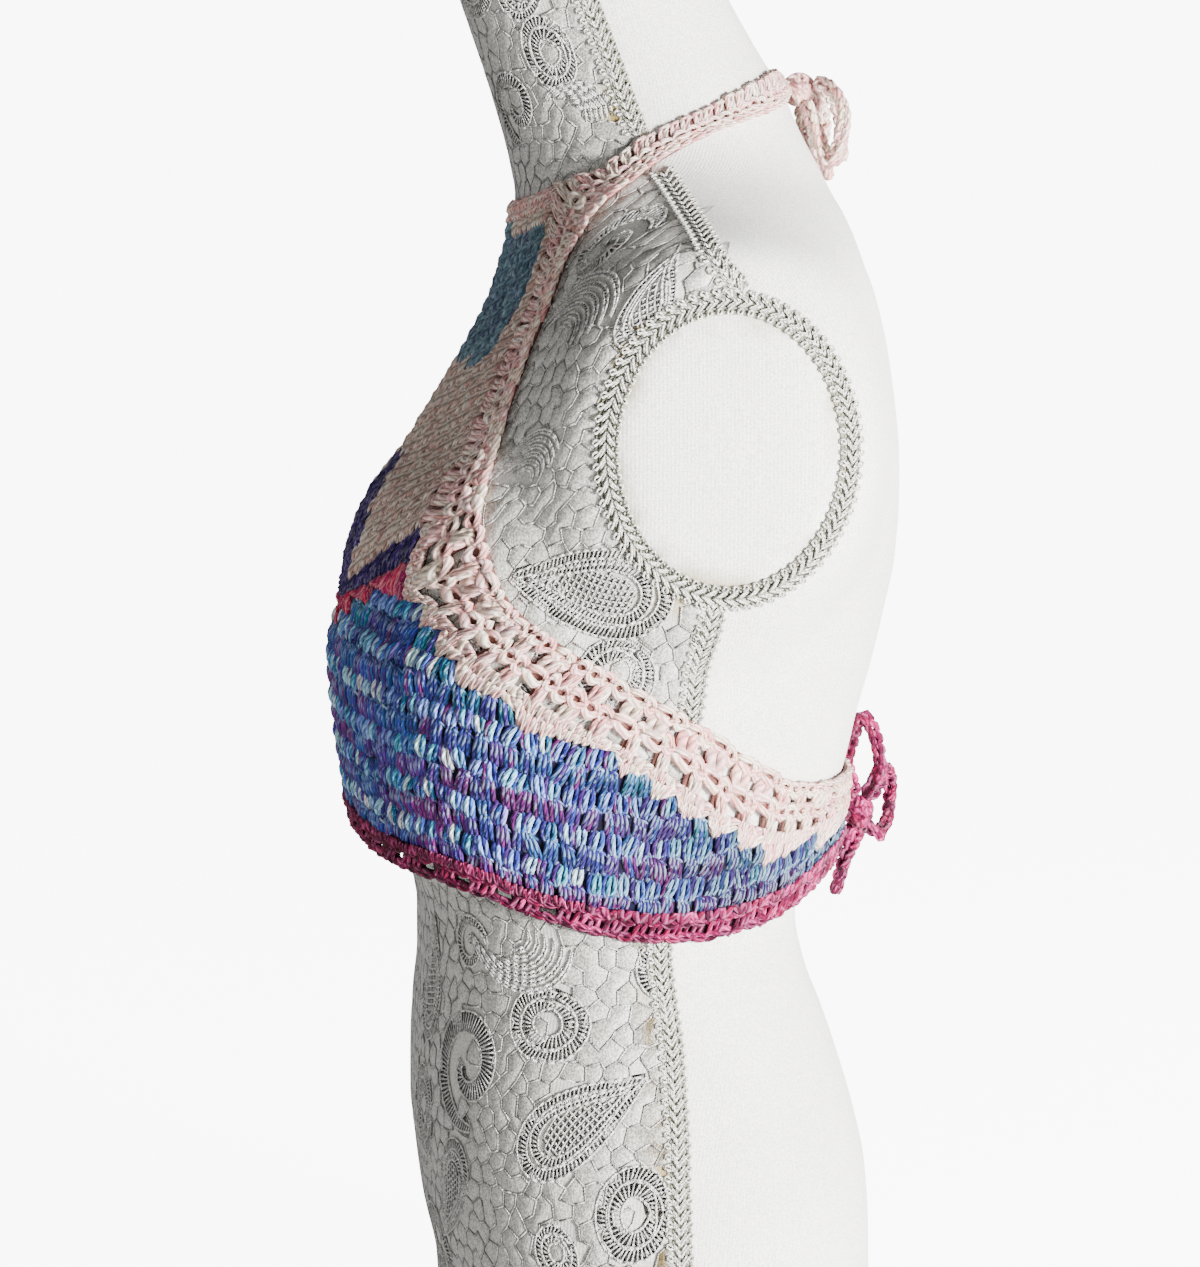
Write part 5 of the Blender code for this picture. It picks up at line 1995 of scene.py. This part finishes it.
@dataclass
class Bib(Garment):
    """The bib with its stepped motif, and the edging of the neckline."""

    # Painted shade: the dark colour of the bib's cloth, seen in the dimples
    # between its stitches.
    shaded_ground: np.ndarray = field(
        default_factory=lambda: linear((0.28, 0.17, 0.16))[0])
    yarn: float = 1.06
    pitch: float = 5.3
    row_pitch: float = 6.6

    def columns(self) -> np.ndarray:
        """Returns the bib's columns of (height, turn) places."""
        rows = np.arange(0, NECKLINE_ROW + 0.5, 0.5)
        edge = [strap_place(row, "inner") for row in rows]
        foot = violet_height(STRIPE_END) + SEAM_GAP
        crown = edge[-1][0]
        half = []
        for i in range(BIB_CELLS + 1):
            share = i / BIB_CELLS
            low = violet_height(share * STRIPE_END) + SEAM_GAP
            high = neck_low_height(share * edge[-1][1])
            column = []
            for height, turn in edge:
                rise = np.clip((height - foot) / (crown - foot), 0, 1)
                column.append((low + rise * (high - low),
                               share * (turn - SEAM_TURN)))
            half.append(column)
        return mirrored(half)

    def tone(self, height: float, turn: float) -> str:
        """Returns the yarn of the bib's stitch at a place.

        A stepped diamond stands at centre front, below a broad yoke.
        """
        away = abs(turn)
        block = 0.156 + 0.0007 * (height - 446)
        if away < block and 446 < height < 502:
            return "teal"
        step = math.floor((height - 350) / 8)
        reach = (0.050, 0.056, 0.062, 0.076, 0.068, 0.060, 0.046)
        if 0 <= step < len(reach) and away < reach[step]:
            return "violet"
        return "pink"

    def build(self) -> None:
        """Builds the bib and the neckline's edging."""
        patch = Patch(self.columns())
        last = patch.columns.shape[1] - 1
        middle = patch.columns[len(patch.columns) // 2, :, 0]
        count = round((middle[-1] - middle[0]) / self.row_pitch)
        lines = np.interp(np.linspace(middle[0], middle[-1], count + 1),
                          middle, np.arange(last + 1))
        yarns = {"pink": (Tones.DUSTY, self.finishes.pink),
                 "teal": (Tones.PETROL, self.finishes.teal),
                 "violet": (Tones.VIOLET, self.finishes.violet)}
        runs = {name: StitchForm.BUMP.run(self.pitch, self.row_pitch,
                                          self.yarn) for name in yarns}
        for k, (low, high) in enumerate(zip(lines, lines[1:])):
            sides = patch.split((low + high) / 2, self.pitch)
            if k % 2:
                middles = 0.5 * (sides[1:] + sides[:-1])
                sides = np.concatenate([sides[:1], middles, sides[-1:]])
            for first, end in zip(sides, sides[1:]):
                spot = patch.place(np.array(0.5 * (first + end)),
                                   np.array(0.5 * (low + high)))
                name = self.tone(*spot)
                tones = yarns[name][0]
                runs[name].add((first, end, low, high), pick(self.rng, tones),
                               pick(self.rng, tones))
        shell = cloth_shell("bib_cloth", patch, self.finishes.pink,
                            self.shaded_ground, frozenset(), split=(3, 2))
        stitches = [self.sew(name + "_bib_stitches", patch, [runs[name]],
                             finish) for name, (_, finish) in yarns.items()]
        self.declare(shell, stitches, "pink_yarn", "bib", (0.175, 0.165),
                     0.0225)
        self._edging()

    def _edging(self) -> None:
        """Builds the two rows of slanted stitches along the neckline."""
        half = []
        for i in range(BIB_CELLS + 1):
            column = []
            for row in (NECKLINE_ROW, NECKLINE_ROW + 0.5, NECKLINE_ROW + 1):
                turn = i / BIB_CELLS * (strap_place(row, "inner")[1]
                                        - SEAM_TURN)
                low = neck_low_height(turn) + SEAM_GAP
                high = neck_top_height(turn)
                column.append((low + (row - NECKLINE_ROW) * (high - low),
                               turn))
            half.append(column)
        patch = Patch(mirrored(half))
        run = StitchForm.SLANT.run(4.4, 4.3, 1.05)
        for row in range(2):
            sides = patch.split(row + 0.5, 4.4)
            for first, end in zip(sides, sides[1:]):
                run.add((first, end, row, row + 1),
                        pick(self.rng, Tones.PINK), pick(self.rng, Tones.BLUSH))
        shell = cloth_shell("neckline_cloth", patch, self.finishes.pink,
                            Tones.GROUND_PINK, frozenset(), split=(3, 3))
        stitches = self.sew("neckline_stitches", patch, [run],
                            self.finishes.pink)
        self.declare(shell, [stitches], "pink_yarn", "neckline_edging",
                     (0.105, 0.010), 0.00088)


@dataclass
class NeckStraps(Garment):
    """The bib's ribbed borders, which go on round the neck as straps."""

    yarn: float = 1.15
    pitch: float = 5.6

    def build(self) -> None:
        """Builds both straps: two chains side by side and a thin edge."""
        for name, side in SIDES:
            rows = np.concatenate([
                np.arange(0, STRAP_FREE, 0.5),
                np.arange(STRAP_FREE, len(STRAP) - 0.9, 0.25)])
            columns = []
            for row in rows:
                outer = np.array(strap_place(row, "outer"))
                inner = np.array(strap_place(row, "inner"))
                columns.append([outer + share * (inner - outer)
                                for share in (0, 0.25, 0.5, 0.75, 1)])
            patch = Patch(np.array(columns), side=side)
            chain = StitchForm.CHAIN.run(self.pitch, 5.0, self.yarn)
            edge = StitchForm.CHAIN.run(self.pitch, 2.6, 0.9 * self.yarn)
            slant = StitchForm.BUMP.run(self.pitch, 5.4, 0.95 * self.yarn)
            sides = patch.split(2.0, self.pitch)
            for first, end in zip(sides, sides[1:]):
                edge.add((first, end, -0.25, 0.75),
                         pick(self.rng, Tones.PINK), pick(self.rng, Tones.PINK))
                chain.add((first, end, 0.7, 2.4), pick(self.rng, Tones.PINK),
                          pick(self.rng, Tones.BLUSH))
                slant.add((first, end, 2.2, 4.1), pick(self.rng, Tones.PINK),
                          pick(self.rng, Tones.BLUSH))
            shell = cloth_shell("strap_cloth_" + name, patch,
                                self.finishes.pink, Tones.GROUND_PINK,
                                frozenset(), split=(2, 1))
            stitches = self.sew("strap_stitches_" + name, patch,
                                [edge, chain, slant], self.finishes.pink)
            self.declare(shell, [stitches], "pink_yarn", "neck_strap_" + name,
                         (0.33, 0.018), 0.0036)


def lace_column(foot: float, smooth_foot: float, turn: float,
                upper_turn: float) -> list[tuple[float, float]]:
    """Returns a column of the armhole edging from its foot to its edge."""
    low = np.array((smooth_foot, turn))
    high = np.array((armhole_height(upper_turn), upper_turn))
    width = math.hypot(high[0] - low[0], (high[1] - low[1]) * HALF_GIRTH)
    root = low + (high - low) * LACE_ROOT / width
    lines = [tuple(root + share * (high - root)) for share in LACE_ROWS]
    return [(foot, turn), *lines]


@dataclass
class ArmholeEdgings(Garment):
    """The open edging from the bib round under the arm to the back."""

    yarn: float = 1.3

    def layout(self) -> tuple[list[list[tuple[float, float]]],
                              list[int | None]]:
        """Returns the edging's columns and the stitch group of each."""
        columns, groups = [], []
        for group, (height, turn, upper) in enumerate(LACE_START):
            columns.append(lace_column(height, height, turn, upper))
            groups.append(group)
        first = 2 * BIB_CELLS
        corner = LACE_START[-1][1]
        foot = row_height(corner, row_count(BIB_CELLS)) + SEAM_GAP
        columns.append(lace_column(foot, band_line(corner), corner,
                                   corner + lace_lean(corner)))
        groups.append(len(LACE_START))
        for i in range(first + 1, 2 * BAND_CELLS + 1):
            if i % 2 or i == 2 * BAND_CELLS:
                cell = min(i // 2, BAND_CELLS - 1)
                turn = i * CELL_TURN
                feet = [(row_height(turn, row_count(cell)) + SEAM_GAP, turn)]
            else:
                feet = step_places(i // 2, row_count(i // 2 - 1),
                                   row_count(i // 2))
            for place, (foot, turn) in enumerate(feet):
                columns.append(lace_column(
                    foot, band_line(turn) + SEAM_GAP, turn,
                    min(turn + lace_lean(turn), BAND_END)))
                groups.append(i if place == len(feet) - 1 else None)
        return columns, groups

    def build(self) -> None:
        """Builds both edgings."""
        columns, groups = self.layout()
        named = [k for k, group in enumerate(groups) if group is not None]
        holes = {(cell, LACE_OPEN_ROWS[groups[cell] % 2])
                 for cell in named if cell < len(groups) - 2}
        for name, side in SIDES:
            patch = Patch(np.array(columns), side=side)
            vee = StitchForm.VEE.run(3.1, 4.0, 0.95 * self.yarn)
            post = StitchForm.CLUSTER.run(6.2, 7.4, 1.05 * self.yarn)
            chain = StitchForm.CHAIN.run(6.2, 6.4, 1.05 * self.yarn)
            for first, end in zip(named, named[1:]):
                middle = 0.5 * (first + end)
                for a, b in ((first, middle), (middle, end)):
                    for low, high in ((-0.05, 0.56), (0.50, 1.12)):
                        vee.add((a, b, low, high), pick(self.rng, Tones.PINK),
                                pick(self.rng, Tones.BLUSH))
                for row, low in ((1, 1), (3, 3)):
                    if (first, row) not in holes:
                        post.add((first, end, low - 0.1, low + 1.1),
                                 pick(self.rng, Tones.PINK),
                                 pick(self.rng, Tones.BLUSH))
                for low, high in ((1.72, 3.22), (3.68, 5.12)):
                    chain.add((first, end, low, high),
                              pick(self.rng, Tones.PINK),
                              pick(self.rng, Tones.PINK))
            shell = cloth_shell("edging_cloth_" + name, patch,
                                self.finishes.pink, Tones.GROUND_PINK,
                                frozenset(holes), split=(1, 2))
            stitches = self.sew("edging_stitches_" + name, patch,
                                [vee, post, chain], self.finishes.pink)
            self.declare(shell, [stitches], "pink_yarn",
                         "armhole_edging_" + name, (0.34, 0.036), 0.0085)


@dataclass
class HemEdgings(Garment):
    """The raspberry edging along the hem, open in front."""

    yarn: float = 1.1

    def build(self) -> None:
        """Builds both halves of the hem edging."""
        groups = [*range(HEM_HOLE_END),
                  *range(HEM_HOLE_END, 2 * BAND_CELLS + 1, 2)]
        columns, holes = [], set()
        for cell, group in enumerate(groups):
            turn = max(group * CELL_TURN, 0.5 * SEAM_TURN)
            columns.append([(hem_height(turn) + row, turn)
                            for row in HEM_ROWS])
            if group < HEM_HOLE_END - 1 and group % HEM_HOLE_PERIOD == 1:
                holes.add((cell, 1))
        for name, side in SIDES:
            patch = Patch(np.array(columns), side=side)
            chain = StitchForm.CHAIN.run(6.2, 3.2, self.yarn)
            slant = StitchForm.SLANT.run(6.2, 7.0, self.yarn)
            grip = StitchForm.VEE.run(3.1, 4.0, 0.9 * self.yarn, 1.0)
            for cell in range(len(groups) - 1):
                splits = 1 if cell < HEM_HOLE_END else 2
                if cell < 1.5 * HEM_HOLE_END:
                    grip.add((cell, cell + 0.5, 2.6, 4.2),
                             pick(self.rng, Tones.RASPBERRY),
                             pick(self.rng, Tones.ROSE))
                    grip.add((cell + 0.5, cell + 1, 2.6, 4.2),
                             pick(self.rng, Tones.ROSE),
                             pick(self.rng, Tones.RASPBERRY))
                for k in range(splits):
                    a, b = cell + k / splits, cell + (k + 1) / splits
                    chain.add((a, b, 1.9, 3.05),
                              pick(self.rng, Tones.RASPBERRY),
                              pick(self.rng, Tones.ROSE))
                    chain.add((a, b, -0.15, 1.15),
                              pick(self.rng, Tones.RASPBERRY),
                              pick(self.rng, Tones.ROSE))
                    if (cell, 1) not in holes:
                        slant.add((a, b, 0.2, 2.8),
                                  pick(self.rng, Tones.RASPBERRY),
                                  pick(self.rng, Tones.ROSE))
            shell = cloth_shell("hem_cloth_" + name, patch,
                                self.finishes.raspberry,
                                Tones.SHADED_GROUND_RASPBERRY, frozenset(holes))
            stitches = self.sew("hem_stitches_" + name, patch,
                                [chain, slant, grip],
                                self.finishes.raspberry)
            self.declare(shell, [stitches], "raspberry_yarn",
                         "hem_edging_" + name, (0.39, 0.010), 0.0033)


# --------------------------------------------------------------- ties and bows
def off_knot(knot: Knot, towards: tuple[float, float, float]) -> np.ndarray:
    """Returns the point just off a knot's skin on the way to a point."""
    centre = np.array(knot.centre, dtype=float)
    way = np.array(towards, dtype=float) - centre
    way /= np.linalg.norm(way)
    depth = 1 / math.sqrt(((way / np.array(knot.radii)) ** 2).sum())
    return centre + way * (depth + KNOT_GAP)


@dataclass
class Ties:
    """The crocheted cords, their knots and their bows."""

    finishes: Finishes
    pitch: float = 4.8
    yarn: float = 1.65
    spread: float = 2.1
    rng: np.random.Generator = field(
        default_factory=lambda: np.random.default_rng(3))

    def link(self) -> bpy.types.Mesh:
        """Returns one link of the chain: a loop, a back bump and a core."""
        p, r, b = self.pitch, self.yarn, self.spread
        return stitch("link", (
            bowed(((-0.5, 0, 0.2), (1.4, b, 0.9), (3.4, 0.9 * b, 1.2),
                   (p + 1.2, 0.1, 0.3)), r, 0, 5),
            bowed(((-0.5, 0, 0.2), (1.4, -b, 0.9), (3.4, -0.9 * b, 1.2),
                   (p + 1.2, -0.1, 0.3)), r, 1, 5),
            bowed(((-0.6, 0.3, -0.7), (0.5 * p, 0, -1.5),
                   (p + 0.6, -0.3, -0.7)), r, 0, 4),
        ), sides=5)

    def cord(self, name: str, points: list[np.ndarray],
             material: bpy.types.Material, tones: np.ndarray,
             second: np.ndarray, facing: tuple[float, float, float]
             ) -> tuple[bpy.types.Object, np.ndarray]:
        """Builds a chain along a route.

        Args:
            name: The piece's name.
            points: The route's points.
            material: Its yarn.
            tones: Colours of one strand.
            second: Colours of the other strand.
            facing: The way that its front looks at the start.

        Returns:
            The piece, and its middle line in metres.
        """
        line = smooth_route(points, 1.0)
        trail = Trail.turning_least(line, (facing,))
        unit = self.link()
        local = coordinates(unit)
        length = trail.run[-1] - 2 * self.yarn
        count = max(2, round(length / self.pitch))
        stretch = length / (count * self.pitch)
        starts = np.arange(count)[:, None] * self.pitch
        along = np.clip((starts + local[:, 0]) * stretch + self.yarn,
                        -0.2, trail.run[-1] + 0.2)
        roll = np.arange(count)[:, None] * 0.32
        side = local[:, 1] * np.cos(roll) - local[:, 2] * np.sin(roll)
        lift = local[:, 1] * np.sin(roll) + local[:, 2] * np.cos(roll)
        places = trail.carry(along, side, lift)
        mesh = repeated(unit, count)
        tone = np.empty(len(local), dtype=np.float32)
        unit.attributes["tone"].data.foreach_get("value", tone)
        colours = np.array([
            np.where(tone[:, None] > 0.5, pick(self.rng, second),
                     pick(self.rng, tones)) for _ in range(count)])
        paint(mesh, colours.reshape(-1, 3))
        piece = new_piece(name, mesh, places.reshape(-1, 3), material)
        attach(piece, "root")
        return piece, line * MM

    def knot(self, name: str, knot: Knot, material: bpy.types.Material,
             tones: np.ndarray, second: np.ndarray, slot: str) -> None:
        """Builds a knot from turns of cord laid over each other."""
        turns = ((0.0, 0.1, 0.0), (1.2, 0.2, 0.9), (-1.0, 0.9, -0.4),
                 (0.4, 1.45, 0.5))
        angle = np.linspace(0, 2 * math.pi, 25)
        strands = []
        for k, (shift, tilt, roll) in enumerate(turns):
            ring = np.stack([np.cos(angle), np.sin(angle),
                             np.full_like(angle, 0.14 * shift)], axis=1)
            cosine, sine = math.cos(tilt), math.sin(tilt)
            ring = ring @ np.array(((1, 0, 0), (0, cosine, -sine),
                                    (0, sine, cosine)))
            cosine, sine = math.cos(roll), math.sin(roll)
            ring = ring @ np.array(((cosine, 0, sine), (0, 1, 0),
                                    (-sine, 0, cosine)))
            size = np.array(knot.radii) - 1.9
            for offset in (-1.15, 1.15):
                wide = ring * size + np.array((0, 0, offset)) @ np.array(
                    ((1, 0, 0), (0, math.cos(tilt), -math.sin(tilt)),
                     (0, math.sin(tilt), math.cos(tilt))))
                strands.append(Strand(tuple(map(tuple, wide)), 1.75,
                                      int(offset > 0)))
            del k
        unit = stitch(name, tuple(strands), sides=8)
        tone = np.empty(len(unit.vertices), dtype=np.float32)
        unit.attributes["tone"].data.foreach_get("value", tone)
        paint(unit, np.where(tone[:, None] > 0.5, second[0], tones[0]))
        points = coordinates(unit) + np.array(knot.centre)
        piece = new_piece(name + "_turns", unit, points, material)
        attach(piece, "root")
        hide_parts(name)

    def bow(self, place: str, knot: Knot, loops: dict[str, Route],
            tails: dict[str, Route], material: bpy.types.Material,
            tones: np.ndarray, second: np.ndarray, slot: str) -> None:
        self.knot(place + "_knot", knot, material, tones, second, slot)
        for side, _ in SIDES:
            for kind, route in (("loop", loops[side]), ("tail", tails[side])):
                node = f"{place}_{kind}_{side}"
                points = [off_knot(knot, route[0]),
                          *(np.array(p, dtype=float) for p in route)]
                if kind == "loop":
                    points.append(off_knot(knot, route[-1]))
                piece, line = self.cord(node + "_chain", points, material,
                                        tones, second, (1.0, 0.2, 0.3))
                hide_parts(node)
                length = float(np.linalg.norm(np.diff(line, axis=0),
                                              axis=1).sum())
                tuple(line[0])
                LOG.info("%s: %.0f mm", node, length / MM)

    def build(self) -> None:
        """Builds the bow at the back, the bow at the nape and the ties."""
        self.bow("back", BACK_KNOT, BACK_LOOPS, BACK_TAILS,
                 self.finishes.raspberry, Tones.RASPBERRY, Tones.ROSE,
                 "raspberry_yarn")
        self.bow("nape", NAPE_KNOT, NAPE_LOOPS, NAPE_TAILS,
                 self.finishes.pink, Tones.PINK, Tones.BLUSH, "pink_yarn")
        for name, side in SIDES:
            route = [np.array((side * x, y, z)) for x, y, z in BACK_TIE]
            points = [*route, off_knot(BACK_KNOT, tuple(route[-1]))]
            piece, _ = self.cord("back_tie_chain_" + name, points,
                                 self.finishes.raspberry, Tones.RASPBERRY,
                                 Tones.ROSE, (0.0, 0.0, 1.0))
            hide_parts("back_tie_" + name)


# --------------------------------------------------------------------- studio
@dataclass
class Studio:
    """The floor, the lights and the camera."""

    target: tuple[float, float, float] = (0.0, -0.00235, 0.333)
    azimuth: float = 83.0
    elevation: float = 5.0
    distance: float = 1.4
    view_height: float = 0.5359
    sensor: float = 36.0
    floor_glow: float = 8.8
    ambient: float = 0.16

    def camera(self) -> None:
        """Sets up the camera."""
        a, e = math.radians(self.azimuth), math.radians(self.elevation)
        back = Vector((math.sin(a) * math.cos(e), -math.cos(a) * math.cos(e),
                       math.sin(e)))
        data = bpy.data.cameras.new("camera")
        data.sensor_width = self.sensor
        data.lens = self.sensor * self.distance / self.view_height
        data.clip_start, data.clip_end = 0.05, 30
        item = bpy.data.objects.new("camera", data)
        item.location = Vector(self.target) + back * self.distance
        item.rotation_mode = "QUATERNION"
        item.rotation_quaternion = (-back).to_track_quat("-Z", "Y")
        bpy.context.collection.objects.link(item)
        bpy.context.scene.camera = item

    def light(self, name: str, place: tuple[float, float, float],
              size: float, power: float) -> None:
        """Adds a soft square light that faces the part."""
        data = bpy.data.lights.new(name, "AREA")
        data.shape = "SQUARE"
        data.size = size
        data.energy = power
        item = bpy.data.objects.new(name, data)
        item.location = place
        way = Vector(self.target) - Vector(place)
        item.rotation_mode = "QUATERNION"
        item.rotation_quaternion = way.to_track_quat("-Z", "Y")
        bpy.context.collection.objects.link(item)

    def floor(self) -> None:
        """Adds the pale floor."""
        shape = bmesh.new()
        bmesh.ops.create_circle(shape, cap_ends=True, segments=96, radius=6)
        mesh = bpy.data.meshes.new("floor")
        shape.to_mesh(mesh)
        shape.free()
        material = bpy.data.materials.new("pale_floor")
        material.use_nodes = True
        g = Graph(material.node_tree)
        shader = material.node_tree.nodes["Principled BSDF"]
        grain = g.node("MapRange", in_0=g.noise(30.0), in_1=0.3, in_2=0.7,
                       in_3=0.90, in_4=0.93)
        g.tree.links.new(grain.outputs[0], shader.inputs["Base Color"])
        shader.inputs["Roughness"].default_value = 0.9
        shader.inputs["Emission Color"].default_value = (1, 1, 1, 1)
        g.tree.links.new(
            g.math("MULTIPLY", g.node("LightPath").outputs["Is Camera Ray"],
                   self.floor_glow), shader.inputs["Emission Strength"])
        mesh.materials.append(material)
        item = bpy.data.objects.new("floor", mesh)
        item.location = (0, 0, -0.0005)
        bpy.context.collection.objects.link(item)

    def world(self) -> None:
        """Makes a white surround that lights the part only a little."""
        world = bpy.data.worlds.new("surround")
        world.use_nodes = True
        tree = world.node_tree
        tree.nodes.clear()
        g = Graph(tree)
        seen = g.node("Background", in_Color=(1, 1, 1, 1), in_Strength=9.0)
        lit = g.node("Background", in_Color=(0.92, 0.95, 1, 1),
                     in_Strength=self.ambient)
        path = g.node("LightPath")
        mix = g.node("MixShader", in_0=path.outputs["Is Camera Ray"],
                     in_1=lit.outputs[0], in_2=seen.outputs[0])
        g.node("OutputWorld", in_Surface=mix.outputs[0])
        bpy.context.scene.world = world

    def build(self) -> None:
        """Sets up everything round the part."""
        self.camera()
        self.floor()
        self.world()
        self.light("key", (1.80, 1.28, 0.36), 0.5, 290.0)
        self.light("fill", (1.9, -0.5, 0.7), 1.2, 3.5)
        self.light("back", (-0.7, 1.6, 0.35), 1.0, 26.0)
        self.light("front", (-0.6, -1.8, 0.7), 1.0, 9.0)


def main() -> None:
    """Builds the part's looks, in order."""
    logging.basicConfig(level=logging.INFO, format="%(name)s: %(message)s")
    Studio().build()
    finishes = Finishes()
    Ties(finishes).build()
    FormCover(finishes).build()
    LaceFront(finishes).build()
    BraidTrim(finishes).build()
    ArmholePlates(finishes).build()
    for kind in (BodyBand, Stripes, Bib, NeckStraps, ArmholeEdgings,
                 HemEdgings):
        kind(finishes).build()
        LOG.info("%s done", kind.__name__)


if __name__ == "__main__":
    main()
